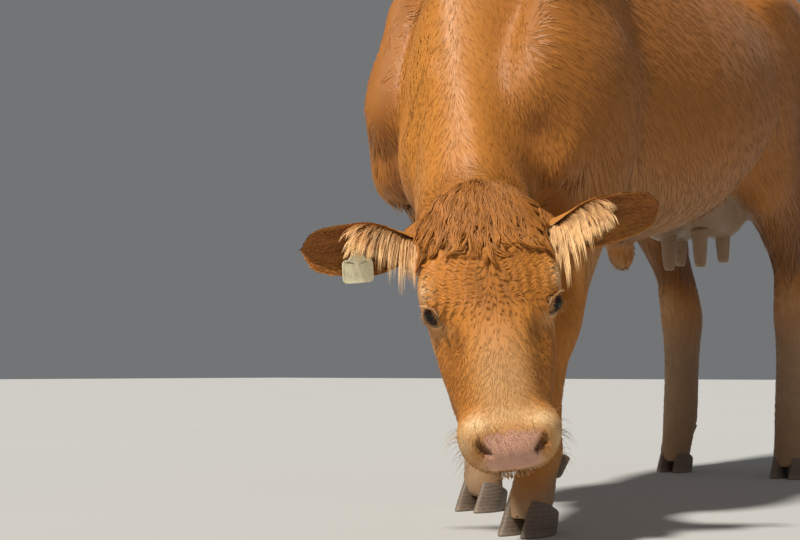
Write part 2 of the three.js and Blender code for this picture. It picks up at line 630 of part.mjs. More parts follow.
// ---- udder and teats ----
const udderCore = new Loft(new THREE.Matrix4(), [
  { z: 640, y: 425 },
  { z: 830, y: 425 },
]);
const udderFlesh = near(udderField, BLEND.udder);
const udder = solidOf(sleeve(udderCore, udderFlesh, spread(655, 825, 8), 16, { reach: () => 190 }));
const teat = ([x, y, z], grow) => {
  const { length, top, tip } = TEAT;
  const profile = [[0, -length], [tip * 0.7, -length], [tip, -length + 7], [top, -4], [top, 26], [0, 26]];
  const turned = profile.map(([r, h]) => new THREE.Vector2(r && r + grow, h + Math.sign(h) * grow));
  return solidOf(new THREE.LatheGeometry(turned, 10).rotateX(rad(90)).translate(x, y, z));
};
let bag = udder.subtract(roundTrunk).subtract(roundHind);
for (const at of Object.values(TEATS)) bag = bag.subtract(teat(at, GAP));
add("udder", bag, udderSkin);
for (const [name, at] of Object.entries(TEATS)) add("teat_" + name, teat(at, 0), udderSkin);

// ---- tail ----
const tailSide = (p) => blend(tailLoft.distance(p), trunkField(p), BLEND.tail);
const tailRings = ringsOf(tailLoft, 610, 1366, 90);
const tailSolid = solidOf(sleeve(tailLoft, tailSide, tailRings, 10, { reach: () => 60 }));
add("tail", tailSolid.subtract(roundTrunk), coat);
const switchField = (p) => switchLoft.distance(p);
add("tail_switch", solidOf(sleeve(switchLoft, switchField, ringsOf(switchLoft, 264, 609.5, 70), 12)), coat);

// The origin is at the middle of the bounding box's underside.
const box = new THREE.Box3().setFromObject(cow);
cow.position.set(-(box.min.x + box.max.x) / 2, -(box.min.y + box.max.y) / 2, -box.min.z);
cow.updateMatrixWorld(true);
export default cow;
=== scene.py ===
"""A grazing beef cow, life size: one skin laid inside the packed solids, its coat as joined tufts, and
its eyes, lids, claws and ear tag. Laid out as an add-on, run as a script."""

import math

import bpy
import numpy as np
from mathutils import Matrix, Vector


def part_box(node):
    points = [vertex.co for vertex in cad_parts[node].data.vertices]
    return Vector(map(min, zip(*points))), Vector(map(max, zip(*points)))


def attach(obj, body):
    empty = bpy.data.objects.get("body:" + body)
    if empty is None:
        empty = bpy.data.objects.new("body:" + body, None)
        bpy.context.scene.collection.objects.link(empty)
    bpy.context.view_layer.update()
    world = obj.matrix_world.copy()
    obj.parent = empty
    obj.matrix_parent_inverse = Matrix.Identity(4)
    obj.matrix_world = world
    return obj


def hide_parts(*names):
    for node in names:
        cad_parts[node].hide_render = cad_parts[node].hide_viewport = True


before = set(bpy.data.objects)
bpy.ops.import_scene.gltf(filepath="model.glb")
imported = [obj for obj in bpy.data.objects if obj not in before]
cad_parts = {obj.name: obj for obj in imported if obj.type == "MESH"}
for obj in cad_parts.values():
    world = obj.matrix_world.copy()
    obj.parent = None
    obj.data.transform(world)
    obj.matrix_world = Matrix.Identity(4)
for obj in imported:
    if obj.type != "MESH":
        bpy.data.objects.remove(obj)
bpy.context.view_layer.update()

bl_info = {
    "name": "Grazing cow coat and skin",
    "version": (1, 0, 0),
    "blender": (4, 5, 0),
    "location": "3D View > Sidebar > Cow",
    "description": "Skin, coat, eyes, claws and ear tag of a grazing beef cow over its packed solids",
    "category": "Object",
}

# The body's shape. Lengths in this part are millimetres in the cow's own frame: it stands on z = 0,
# faces -y and has its left side at +x. The head has a frame of its own: x to the cow's left, y from
# the face backwards, z from the muzzle to the poll.

LEAN, TILT, HEADING, HEAD_SIZE = 13.0, 6.2, 37.5, 0.965
POLL = np.array([184.0, -929.0, 600.0])
EYE, EYE_RADIUS = (98.5, -8.5, -209.0), 20.5
EAR_LENGTH, EAR_HALF = 228.0, 53.0
NECK_ROOT, NECK_END = (0.0, -555.0, 1015.0), (0.0, 92.0, -62.0)
BLEND = {"leg": 55.0, "udder": 36.0, "tail": 24.0, "neck": 64.0, "head": 46.0}
FAR = 400.0  # millimetres, for the distance of a part that is out of reach
KEYS = ("x", "y", "w", "lo", "hi", "nLo", "nHi", "turn")
PLAIN = dict(x=0, y=0, w=10, lo=10, hi=10, nLo=2, nHi=2, turn=0)


def rotation(axis, degrees):
    """The 3 by 3 matrix of a turn about x, y or z."""
    c, s = math.cos(math.radians(degrees)), math.sin(math.radians(degrees))
    i = "xyz".index(axis)
    j, k = (i + 1) % 3, (i + 2) % 3
    m = np.eye(3)
    m[j, j], m[k, k], m[j, k], m[k, j] = c, c, -s, s
    return m


HEAD_TURN = rotation("z", HEADING) @ rotation("y", -TILT) @ rotation("x", -LEAN)


def from_head(q):
    """Points of the head's frame, placed on the cow."""
    return np.asarray(q, float) @ HEAD_TURN.T * HEAD_SIZE + POLL


def to_head(p):
    """Points of the cow, in the head's frame."""
    return (p - POLL) @ HEAD_TURN / HEAD_SIZE


def unit(v):
    """Vectors made one long."""
    return v / np.maximum(np.linalg.norm(v, axis=-1, keepdims=True), 1e-9)


def smooth(x, low, high):
    """0 below low, 1 above high, and the cubic 3t^2 - 2t^3 between them."""
    t = np.clip((x - low) / (high - low), 0, 1)
    return t * t * (3 - 2 * t)


def blend(a, b, k):
    """Smooth union: the lesser distance, less h^2 k / 4, where h falls to 0 as they differ by k."""
    h = np.maximum(k - np.abs(a - b), 0) / k
    return np.minimum(a, b) - h * h * k / 4


def turns(count):
    """Angles in even steps once round."""
    return 2 * math.pi * np.arange(count) / count


def round_end(s, start, reach, least):
    """1 up to start, then sqrt(1 - ((s - start) / reach)^2), whose square stays above least."""
    return np.sqrt(np.clip(1 - (np.maximum(s - start, 0) / reach) ** 2, least, 1))


def spot(q, centre, radii):
    """exp(-|(q - centre) / radii|^2)."""
    return np.exp(-np.sum(((q - np.array(centre, float)) / radii) ** 2, axis=1))


def lump(p, centre, radii, turn=(0, 0, 0)):
    """Rough distance from an ellipsoid: |q| (1 - 1 / k), k = |q / radii|, q in its turned frame."""
    turned = rotation("x", turn[0]) @ rotation("y", turn[1]) @ rotation("z", turn[2])
    q = (p - np.array(centre, float)) @ turned
    k = np.maximum(np.linalg.norm(q / np.array(radii, float), axis=-1), 1e-6)
    return np.linalg.norm(q, axis=-1) * (1 - 1 / k)


def mirrored(p):
    """The same points on the left side of the plane x = 0."""
    return np.abs(p) * (1, 0, 0) + p * (0, 1, 1)


class Loft:
    """A loft along the z axis of its frame, through stations that give the section's centre x, y, its
    half width w, its reach to -y and +y, the roundness n of each side, and its turn in degrees. The
    values between stations follow a cubic Hermite curve. The section is a superellipse: with
    k = ((|x| / w)^n + (|y| / reach)^n)^(1/n), the distance is |(x, y)| (1 - 1 / k)."""

    def __init__(self, stations, turn=np.eye(3), at=(0, 0, 0), size=1.0):
        rows = sorted(stations, key=lambda s: s["z"])
        self.turn, self.place, self.size = np.asarray(turn, float), np.array(at, float), size
        self.z = np.array([s["z"] for s in rows], float)
        self.values = np.array([[{**PLAIN, **s}[k] for k in KEYS] for s in rows], float)
        here = np.arange(len(rows))
        low, high = np.maximum(here - 1, 0), np.minimum(here + 1, len(rows) - 1)
        self.slope = (self.values[high] - self.values[low]) / (self.z[high] - self.z[low])[:, None]

    def at(self, z):
        """The stations' values at heights z, one row for each of KEYS."""
        i = np.clip(np.searchsorted(self.z, z) - 1, 0, len(self.z) - 2)
        step = (self.z[i + 1] - self.z[i])[:, None]
        t = np.clip((z - self.z[i])[:, None] / step, 0, 1)
        t2, t3 = t * t, t * t * t
        ends = (2 * t3 - 3 * t2 + 1) * self.values[i] + (3 * t2 - 2 * t3) * self.values[i + 1]
        return (ends + ((t3 - 2 * t2 + t) * self.slope[i] + (t3 - t2) * self.slope[i + 1]) * step).T

    def local(self, p):
        """Points in the loft's own frame."""
        return (p - self.place) @ self.turn / self.size

    def box(self, beyond=170):
        """The lowest and highest corner of the loft's ends and walls, and some millimetres beyond."""
        x, y, w, lo, hi = self.at(self.z)[:5]
        middle = np.stack([x, y, self.z], axis=1) @ self.turn.T * self.size + self.place
        wide = np.max([w, lo, hi], axis=0)[:, None] * self.size + beyond
        return (middle - wide).min(0), (middle + wide).max(0)

    def distance(self, p):
        """The section's distance, or past an end the distance from that end's face."""
        q = self.local(p)
        x0, y0, w, lo, hi, n_lo, n_hi, turn = self.at(q[:, 2])
        dx, dy, turn = q[:, 0] - x0, q[:, 1] - y0, np.radians(turn)
        x = np.abs(dx * np.cos(turn) + dy * np.sin(turn)) / np.maximum(w, 1)
        y = dy * np.cos(turn) - dx * np.sin(turn)
        reach, n = np.where(y < 0, (lo, n_lo), (hi, n_hi))
        k = np.maximum((x**n + (np.abs(y) / np.maximum(reach, 1)) ** n) ** (1 / n), 1e-6)
        inside = np.hypot(dx, dy) * (1 - 1 / k)
        over = q[:, 2] - np.clip(q[:, 2], self.z[0], self.z[-1])
        return np.where(over == 0, inside, np.hypot(np.maximum(inside, 0), over))


def girth(fore, top, keel, widest, w, roof=2.0, floor=2.0):
    """A station of the trunk: how far back it is, the heights of its back, keel and widest part, its
    half width there, and how square it is above and below."""
    return dict(z=fore, y=widest, w=w, lo=widest - keel, hi=top - widest, nLo=floor, nHi=roof)


def stations(*rows, keys="z x y w lo hi"):
    """A row of numbers for each station, as named values."""
    return [dict(zip(keys.split(), row)) for row in rows]


trunk_loft = Loft(
    [
        girth(812, 905, 690, 800, 40),
        girth(785, 985, 640, 810, 84),
        girth(735, 1085, 606, 830, 128),
        girth(670, 1180, 590, 865, 176, 1.9),
        girth(590, 1262, 582, 900, 226, 1.85),
        girth(480, 1325, 580, 915, 262, 1.8),
        girth(320, 1340, 584, 915, 292, 1.9),
        girth(140, 1338, 600, 905, 325, 2.0),
        girth(-50, 1340, 628, 910, 336, 2.15, 1.85),
        girth(-200, 1352, 664, 930, 322, 2.4, 1.7),
        girth(-330, 1372, 712, 990, 304, 2.8, 1.6),
        girth(-450, 1392, 760, 1040, 298, 3.2, 1.7),
        girth(-580, 1408, 800, 1090, 294, 3.6),
        girth(-700, 1411, 840, 1120, 280, 3.6),
        girth(-785, 1402, 905, 1150, 250, 3.2),
        girth(-848, 1374, 975, 1160, 196, 2.8),
        girth(-890, 1306, 1060, 1180, 90),
    ],
    turn=np.array([[1, 0, 0], [0, 0, -1], [0, 1, 0]]),
)
TRUNK_LUMPS = {
    "shoulder blade": ((186, -590, 1015), (66, 128, 178), (-24, 8, 0)),
    "point of shoulder": ((172, -700, 885), (68, 78, 120), (-20, 0, 0)),
    "upper arm": ((200, -645, 765), (64, 80, 120), (-25, 0, 0)),
    "triceps": ((214, -560, 865), (72, 150, 145), (28, 0, 0)),
    "hook bone": ((236, 430, 1290), (62, 100, 60), (0, 20, 0)),
    "rump": ((170, 650, 1240), (124, 225, 160), (0, 0, 0)),
    "thigh": ((168, 640, 985), (108, 215, 270), (6, 0, 0)),
    "quadriceps": ((200, 440, 905), (84, 118, 185), (16, 0, 0)),
    "stifle fold": ((196, 350, 885), (36, 90, 70), (-38, 0, 0)),
    "pin bone": ((128, 826, 1265), (54, 54, 66), (0, 0, 0)),
    "brisket": ((52, -720, 705), (68, 96, 112), (30, 0, 0)),
}
FORE_LEG = stations(
    (30, 158, -634, 44, 46, 40), (58, 158, -630, 47, 50, 44), (88, 158, -622, 45, 47, 45),
    (118, 158, -612, 43, 43, 44), (150, 159, -606, 44, 42, 49), (185, 160, -604, 38, 37, 43),
    (250, 160, -600, 34, 35, 39), (320, 161, -592, 37, 38, 41), (352, 162, -588, 48, 47, 44),
    (392, 163, -585, 56, 53, 51), (430, 165, -580, 54, 52, 62), (475, 168, -570, 52, 52, 70),
    (545, 173, -556, 59, 64, 90), (625, 181, -545, 70, 86, 108), (700, 189, -534, 80, 112, 120),
    (765, 193, -534, 80, 122, 122), (840, 193, -545, 72, 115, 112), (920, 190, -570, 55, 80, 80),
)
HIND_LEG = stations(
    (30, 176, 690, 44, 46, 40), (58, 176, 698, 48, 54, 45), (88, 176, 709, 49, 53, 48),
    (118, 176, 720, 51, 54, 53), (155, 176, 732, 54, 56, 64), (195, 176, 739, 55, 57, 61),
    (260, 176, 748, 54, 61, 62), (330, 177, 757, 55, 64, 64), (400, 178, 766, 59, 71, 69),
    (455, 179, 771, 65, 81, 73), (500, 180, 766, 64, 89, 82), (545, 182, 750, 57, 94, 108),
    (580, 183, 735, 52, 94, 118), (620, 185, 712, 54, 100, 116), (670, 188, 678, 64, 116, 122),
    (730, 191, 636, 76, 142, 146), (790, 192, 605, 84, 165, 172), (860, 190, 595, 88, 170, 188),
    (940, 185, 600, 84, 150, 180),
)


def leg(rows, side, pivot, dx, dy):
    """A leg on the side left (1) or right (-1), whose foot is moved by dx, dy from its plain place."""
    sway = [max(0.0, (pivot - s["z"]) / pivot) for s in rows]
    return Loft([{**s, "x": side * s["x"] + dx * k, "y": s["y"] + dy * k} for s, k in zip(rows, sway)])


LEGS = {
    "fore_left": leg(FORE_LEG, 1, 700, -6, -85),
    "fore_right": leg(FORE_LEG, -1, 700, 45, 185),
    "hind_left": leg(HIND_LEG, 1, 860, -8, -8),
    "hind_right": leg(HIND_LEG, -1, 860, 4, -18),
}

neck_root, neck_end = np.array(NECK_ROOT), from_head(NECK_END)
neck_along = unit(neck_end - neck_root)
neck_across = unit(np.array([1.0, 0, 0]) - neck_along * neck_along[0])
NECK_TURN = np.stack([neck_across, np.cross(neck_along, neck_across), neck_along], axis=1)
head_side = NECK_TURN.T @ HEAD_TURN[:, 0]
TWIST = math.degrees(math.atan2(head_side[1], head_side[0]))
NECK_LENGTH = float(np.linalg.norm(neck_end - neck_root))


def collar(share, w, throat, crest, x):
    """A station of the neck at a share of its length, turned on with the head."""
    turn = TWIST * float(smooth(share, 0.05, 0.95))
    return dict(z=share * NECK_LENGTH, x=x, w=w, lo=throat, hi=crest, turn=turn, nHi=1.75)


neck_loft = Loft(
    [
        collar(-0.3, 112, 250, 172, 0),
        collar(0, 120, 262, 226, -12),
        collar(0.25, 122, 225, 196, -24),
        collar(0.5, 124, 186, 166, -30),
        collar(0.72, 123, 156, 146, -28),
        collar(0.9, 116, 134, 140, -14),
        collar(1.05, 105, 112, 108, 0),
    ],
    turn=NECK_TURN,
    at=neck_root,
)
head_loft = Loft(
    stations(
        (50, 70, 28, 32, 30, 2), (38, 66, 58, 56, 48, 2), (12, 58, 84, 84, 76, 2),
        (-28, 50, 101, 97, 88, 2.2), (-70, 45, 111, 101, 90, 2.4), (-115, 42, 119, 100, 92, 2.6),
        (-152, 40, 121, 98, 96, 2.6),
        (-188, 38, 118, 94, 100, 2.4), (-228, 37, 113, 92, 100, 2.1), (-268, 35, 109, 88, 96, 1.85),
        (-308, 32, 103, 84, 88, 1.8), (-345, 29, 95, 78, 78, 1.85), (-378, 25, 87, 72, 70, 2.0),
        (-408, 21, 85, 68, 64, 2.2), (-436, 17, 87, 62, 60, 2.3), (-460, 14, 80, 54, 52, 2.2),
        (-478, 12, 62, 38, 38, 2), (-488, 11, 36, 20, 20, 2), keys="z y w lo hi nLo",
    ),
    turn=HEAD_TURN,
    at=POLL,
    size=HEAD_SIZE,
)
HEAD_LUMPS = {
    "brow": ((98, -2, -164), (30, 38, 40), (0, 0, 0)),
    "eye socket": ((96, 8, -204), (24, 32, 34), (0, 0, 0)),
    "cheek": ((66, 96, -205), (48, 78, 100), (-10, 0, 0)),
    "jaw bone": ((54, 84, -310), (38, 42, 120), (-17, 0, 0)),
    "ear root": ((112, 62, -50), (42, 36, 38), (0, 0, 0)),
    "poll": ((0, 34, -12), (92, 68, 50), (0, 0, 0)),
    "nostril wing": ((56, -14, -416), (31, 30, 34), (0, 0, 0)),
    "chin": ((0, 50, -436), (52, 34, 40), (0, 0, 0)),
}
TEATS = {
    "front_left": (66, 330, 660),
    "front_right": (-42, 372, 660),
    "rear_left": (70, 484, 684),
    "rear_right": (-60, 490, 682),
}
tail_loft = Loft(
    stations(
        (1400, 0, 785, 42, 40, 30), (1366, 0, 846, 42, 50, 36), (1310, 4, 888, 36, 50, 30),
        (1225, 14, 912, 30, 40, 26), (1090, 40, 924, 26, 27, 23), (900, 84, 928, 22, 22, 20),
        (740, 122, 928, 19, 19, 18), (600, 152, 928, 17, 17, 17),
    )
)
switch_loft = Loft(
    stations(
        (640, 144, 928, 19, 19, 19), (590, 153, 928, 27, 27, 26), (520, 166, 928, 40, 40, 36),
        (440, 178, 926, 48, 46, 42), (360, 187, 923, 44, 42, 38), (300, 192, 920, 28, 28, 26),
        (262, 194, 918, 8, 8, 8),
    )
)


def with_lumps(d, p, table, k):
    """The distances d, blended over k with each lump of the table where the points come near it."""
    for centre, radii, turn in table.values():
        near = np.all(np.abs(p - centre) < max(radii) + 2 * k, axis=1)
        if near.any():
            d[near] = blend(d[near], lump(p[near], centre, radii, turn), k)
    return d


def trunk_field(p):
    """Distance from the trunk with its lumps, the left side's mirrored to the right."""
    d = with_lumps(trunk_loft.distance(p), mirrored(p), TRUNK_LUMPS, 70)
    return with_lumps(d, p, {"navel fold": ((0, -10, 600), (26, 66, 54), (0, 0, 0))}, 40)


def head_field(p):
    """Distance from the head with its lumps."""
    return with_lumps(head_loft.distance(p), mirrored(to_head(p)), HEAD_LUMPS, 26)


UDDER_BOX = (-300, 120, 500), (300, 730, 1030)  # beyond it the udder is out of reach


def udder_field(p):
    """Four quarters, run together along and across the bag."""
    sides = [
        blend(lump(q, (58, 375, 762), (76, 112, 98), (-8, 0, 0)), lump(q, (62, 480, 782), (80, 108, 112)), 26)
        for q in (p, p * (-1, 1, 1))
    ]
    return blend(*sides, 26)


def reach_of(field, p, low, high):
    """The field where p lies between the two corners, and FAR elsewhere."""
    d = np.full(len(p), FAR)
    near = np.all((p > low) & (p < high), axis=1)
    if near.any():
        d[near] = field(p[near])
    return d


def loft_field(loft, p):
    """The loft's distance where it is in reach."""
    return reach_of(loft.distance, p, *loft.box())


def body_field(p):
    """The whole body out to the tips of its coat, as a distance below 0 inside."""
    d = trunk_field(p)
    for loft in LEGS.values():
        d = blend(d, loft_field(loft, p), BLEND["leg"])
    d = blend(d, reach_of(udder_field, p, *UDDER_BOX), BLEND["udder"])
    d = blend(d, loft_field(tail_loft, p), BLEND["tail"])
    head = reach_of(head_field, p, *head_loft.box())
    return blend(d, blend(loft_field(neck_loft, p), head, BLEND["head"]), BLEND["neck"])


# The skin lies inside the coat. These add the coat's depth, the folds of the head and its openings.

CROWN = np.array([6.0, 34.0, 40.0])  # where the topknot's locks start
NAPE_NORMAL = unit(HEAD_TURN @ np.array([0, 0.55, 0.835]))
NAPE_OFFSET = float(NAPE_NORMAL @ from_head(np.array([0, 0.55, 0.835]) * 80))

# Soft dents (above 0) and swellings of the head: centre and radii in its frame, on both sides, and depth.
HEAD_FORMS = {
    "hollow below the eye": ((72, -24, -264), (22, 30, 32), 9.0),
    "temple": ((110, 46, -138), (24, 24, 30), 4.5),
    "brow ridge above": ((106, -24, -178), (20, 18, 18), -5.0),
    "brow ridge beside": ((88, -34, -206), (12, 14, 26), -4.0),
    "corner of the eye": ((98, -16, -243), (16, 16, 12), 4.0),
    "below the eye": ((112, 18, -236), (16, 20, 18), 3.0),
    "facial crest": ((84, 34, -282), (18, 22, 46), -4.0),
    "side of the nose": ((70, -14, -332), (20, 30, 56), 8.0),
    "nostril wing": ((60, -26, -424), (16, 16, 18), -4.5),
    "wing groove": ((66, -2, -408), (9, 26, 12), 4.0),
    "above the nostril": ((46, -48, -418), (18, 16, 12), -2.5),
    "middle of the lip": ((0, -30, -478), (5, 22, 16), 3.0),
    "mouth corner": ((68, 38, -378), (14, 10, 16), 4.5),
    "chin groove": ((0, 78, -404), (44, 14, 14), 4.0),
    "jowl line": ((60, 128, -250), (24, 20, 70), 3.0),
    "forehead dish": ((0, -66, -160), (60, 30, 60), 3.0),
}
# The nostril is a slit bored along a bent line, widest above: points in the head's frame and radii.
NOSTRIL = ((55, -40, -440, 3.5), (53, -38, -448, 6.5), (47, -34, -456, 6.0), (38, -29, -463, 3.5))
BODY_FORMS = {
    "flank hollow": ((262, 285, 1150), (64, 120, 100), 9.0),
    "behind the shoulder": ((250, -420, 1010), (60, 60, 170), 6.0),
    "in front of the shoulder": ((150, -745, 1010), (50, 50, 130), 5.0),
    "fold above the stifle": ((230, 300, 860), (60, 26, 90), 8.0),
    "groove of the thigh": ((220, 745, 880), (70, 26, 150), 7.0),
    "elbow": ((205, -440, 760), (60, 36, 40), -8.0),
    "loin": ((0, 250, 1330), (26, 260, 40), 4.0),
    "beside the tail": ((62, 800, 1240), (30, 60, 60), 9.0),
}


def soft_forms(m, forms):
    """The sum of depth * exp(-|(m - centre) / radii|^2) over the forms."""
    total = np.zeros(len(m))
    for centre, radii, depth in forms.values():
        total += depth * spot(m, centre, radii)
    return total


def behind_nape(p):
    """How far points lie on the neck's side of the plane between head and neck."""
    return p @ NAPE_NORMAL - NAPE_OFFSET


def head_share(p):
    """1 on the head and 0 on the neck and body."""
    near = smooth(-np.linalg.norm(to_head(p) - (0, 40, -220), axis=1), -400, -340)
    return near * (1 - smooth(behind_nape(p), -25, 45))


def coat_depth(p):
    """How far the skin lies below the tips of the coat."""
    q = to_head(p)
    on_head = head_share(p)
    topknot = smooth(q[:, 2], -125, -70) * (1 - smooth(q[:, 1], 30, 90))
    topknot *= 1 - smooth(np.abs(q[:, 0]), 80, 112)
    face = 4.5 + 14 * topknot - 2.5 * smooth(-q[:, 2], 395, 430)
    low = 1 - smooth(p[:, 2], 420, 640)
    body = 9.0 - 4.0 * low
    bag = np.clip(1 - np.abs(udder_field(p)) / 60, 0, 1) * (p[:, 2] < 800)
    return on_head * face + (1 - on_head) * (body * (1 - bag) + 2.0 * bag)


def slit(p, a, b, r1, r2):
    """Distance from a rod between two points whose radius runs from r1 to r2, stretched 3 times in depth,
    which is along y."""
    flat = np.array([1, 1 / 3, 1])
    along = (b - a) * flat
    q = (p - a) * flat
    t = np.clip(q @ along / (along @ along), 0, 1)
    return np.linalg.norm(q - t[:, None] * along, axis=1) - (r1 + (r2 - r1) * t)


def nostril_distance(m):
    """Distance from the nostril's slit, for points near it."""
    d = np.full(len(m), FAR)
    near = np.linalg.norm(m - (40, -34, -455), axis=1) < 60
    for (*a, r1), (*b, r2) in zip(NOSTRIL, NOSTRIL[1:]):
        d[near] = np.minimum(d[near], slit(m[near], np.array(a, float), np.array(b, float), r1, r2))
    return d


def bored(d, m):
    """Distances with the nostrils' bores and the eyes' sockets taken out of them."""
    d = -blend(-d, nostril_distance(m), 2.0)
    return np.maximum(d, EYE_RADIUS + 1.2 - np.linalg.norm(m - EYE, axis=1))


def skin_field(p, openings=bored):
    """Distance from the skin: the body less its coat, with the folds and openings of the head."""
    d = body_field(p) + coat_depth(p)
    q = to_head(p)
    near = np.linalg.norm(q - (0, 20, -240), axis=1) < 340
    d[~near] += soft_forms(mirrored(p[~near]), BODY_FORMS)
    if near.any():
        q, m = q[near], mirrored(q[near])
        lips = 28 + 0.09 * (q[:, 2] + 480)
        gape = (1 - smooth(q[:, 2], -386, -366)) * np.exp(-(((q[:, 1] - lips) / 4.5) ** 2))
        d[near] = openings(d[near] + soft_forms(m, HEAD_FORMS) * HEAD_SIZE + 6.0 * gape, m)
    return d


def head_skin(p):
    """The skin's distance as if it had no nostrils and no eyes."""
    return skin_field(p, openings=lambda d, m: d)


def slope_of(field, p, step=1.0):
    """The field at points and its unit gradient, from differences of one step along each axis."""
    d = field(p)
    rise = np.stack([field(p + step * axis) - d for axis in np.eye(3)], axis=1)
    size = np.linalg.norm(rise, axis=1, keepdims=True) / step
    return d / np.maximum(size[:, 0], 0.3), unit(rise)


# The skin's mesh: where the field changes sign on a lattice that is fine round the head.

CELL = 17.15  # step of the lattice, millimetres far from the head
FINE, CORE, RAMP = 0.27, 960.0, 620.0  # its share of CELL at the head, out to CORE, then rising over RAMP


def stretch(rho):
    """Distance from the head's middle that a lattice radius stands for: FINE * rho, plus (1 - FINE) times
    t^2 / 2 RAMP and then t - RAMP / 2, with t the radius beyond CORE."""
    t = np.maximum(rho - CORE, 0)
    return FINE * rho + (1 - FINE) * np.where(t < RAMP, t * t / (2 * RAMP), t - RAMP / 2)


def to_cow(q, centre):
    """Points of the lattice, moved out along their rays to where stretch puts them."""
    rho = np.maximum(np.linalg.norm(q, axis=-1, keepdims=True), 1e-6)
    return centre + q * (stretch(rho) / rho)


def to_lattice(p, centre):
    """The inverse of to_cow, by a table of stretch."""
    r = np.maximum(np.linalg.norm(p - centre, axis=-1, keepdims=True), 1e-6)
    rho = np.linspace(0, 6000, 6001)
    return (p - centre) * (np.interp(r, stretch(rho), rho) / r)


CORNERS = np.array([[i, j, k] for i in (0, 1) for j in (0, 1) for k in (0, 1)])  # of one cell


def window(shape, corner):
    """Slices that take the lattice's values at that corner of every cell."""
    return tuple(slice(o, n - 1 + o) for o, n in zip(corner, shape))


def lattice_values(field, centre, low, high, cell, every=4):
    """The field on the lattice, worked out only where a coarser lattice comes near the surface. Elsewhere
    it keeps the coarse lattice's sign."""
    corners = low + CORNERS * (high - low)
    walls = np.concatenate([corners[:, None] * t + corners[None] * (1 - t) for t in np.linspace(0, 1, 9)])
    box = to_lattice(walls.reshape(-1, 3), centre)
    start = np.floor(box.min(0) / cell) * cell
    count = (np.ceil((box.max(0) - start) / (cell * every)).astype(int) + 1) * every + 1
    axes = [start[i] + cell * np.arange(count[i]) for i in range(3)]
    coarse = np.stack(np.meshgrid(*[a[::every] for a in axes], indexing="ij"), axis=-1)
    shape = coarse.shape[:3]
    flat = coarse.reshape(-1, 3)
    rho = np.linalg.norm(flat, axis=1)
    scale = np.maximum((stretch(rho + 1) - stretch(rho)), stretch(rho) / np.maximum(rho, 1e-6))
    rough = field(to_cow(flat, centre))
    close = (np.abs(rough) < 1.25 * every * cell * scale).reshape(shape)
    rough = rough.reshape(shape)
    inside = rough < 0
    cells = np.zeros(tuple(np.array(shape) - 1), bool)
    signs = np.zeros(cells.shape, int)
    for corner in CORNERS:
        cells |= close[window(shape, corner)]
        signs += inside[window(shape, corner)]
    cells |= (signs > 0) & (signs < 8)
    active = np.zeros(tuple(count), bool)
    fine = np.repeat(np.repeat(np.repeat(cells, every, 0), every, 1), every, 2)
    for corner in CORNERS:
        active[window(count, corner)] |= fine
    nearest = [np.minimum((np.arange(n) + every // 2) // every, s - 1) for n, s in zip(count, shape)]
    value = np.where(inside[np.ix_(*nearest)], np.float32(-FAR), np.float32(FAR))
    at = np.argwhere(active)
    points = np.stack([axes[i][at[:, i]] for i in range(3)], axis=1)
    value[active] = in_blocks(field, to_cow(points, centre))
    return value, start


def in_blocks(field, p, size=60000):
    """The field of many points, worked out in blocks that fit the processor's cache."""
    return np.concatenate([field(p[i : i + size]) for i in range(0, len(p), size)])


def surface_net(value):
    """One vertex in each cell where the values change sign, at the mean of the crossings of its edges, and
    one quad round each lattice edge that crosses."""
    inside = value < 0
    shape = np.array(value.shape) - 1
    total = np.zeros(tuple(shape), np.int8)
    for step in CORNERS:
        total += inside[window(value.shape, step)]
    at = np.argwhere((total > 0) & (total < 8))
    corner = np.stack([value[tuple((at + step).T)] for step in CORNERS], axis=1)
    place, hits = np.zeros((len(at), 3)), np.zeros(len(at))
    for a in range(8):
        for b in range(a + 1, 8):
            if np.abs(CORNERS[a] - CORNERS[b]).sum() == 1:
                cross = (corner[:, a] < 0) != (corner[:, b] < 0)
                t = corner[cross, a] / (corner[cross, a] - corner[cross, b])
                place[cross] += CORNERS[a] + t[:, None] * (CORNERS[b] - CORNERS[a])
                hits[cross] += 1
    index = np.full(tuple(shape), -1, np.int32)
    index[tuple(at.T)] = np.arange(len(at))
    quads = []
    for axis in range(3):
        b, c = (axis + 1) % 3, (axis + 2) % 3
        e = np.argwhere(np.diff(inside, axis=axis))
        e = e[(e[:, b] > 0) & (e[:, c] > 0) & (e[:, b] < shape[b]) & (e[:, c] < shape[c])]
        ring = []
        for db, dc in ((-1, -1), (0, -1), (0, 0), (-1, 0)):
            cell = e.copy()
            cell[:, b] += db
            cell[:, c] += dc
            ring.append(index[tuple(cell.T)])
        ring = np.stack(ring, axis=1)
        turned = ~inside[tuple(e.T)]
        ring[turned] = ring[turned][:, ::-1]
        quads.append(ring)
    return at + place / hits[:, None], np.concatenate(quads)


def even_out(points, quads, field, rounds=3):
    """Each round moves a point half way to the mean of its neighbours, along the surface only, and then
    back on to the field by its value over its slope."""
    edges = np.concatenate([quads[:, [i, (i + 1) % 4]] for i in range(4)])
    edges = np.concatenate([edges, edges[:, ::-1]])
    count = np.bincount(edges[:, 0], minlength=len(points))[:, None]
    d, normal = slope_of(field, points)
    for _ in range(rounds):
        sums = [np.bincount(edges[:, 0], points[edges[:, 1], i], len(points)) for i in range(3)]
        mean = np.stack(sums, 1) / count
        move = 0.5 * (mean - points)
        points = points + move - normal * np.sum(move * normal, axis=1, keepdims=True)
        d, normal = slope_of(field, points)
        points = points - normal * np.clip(d, -4, 4)[:, None]
    return points, normal


# Surfaces on a grid: ears, teats and lids, which are joined to the skin, and what carries them.


def grid_faces(rows, across, ring=True):
    """Quads of a grid whose points run along each row, closed from its last point to its first if it
    is a ring."""
    i, j = np.meshgrid(np.arange(rows - 1), np.arange(across if ring else across - 1), indexing="ij")
    a, b = i * across + j, i * across + (j + 1) % across
    return np.stack([a, b, b + across, a + across], axis=-1).reshape(-1, 4)


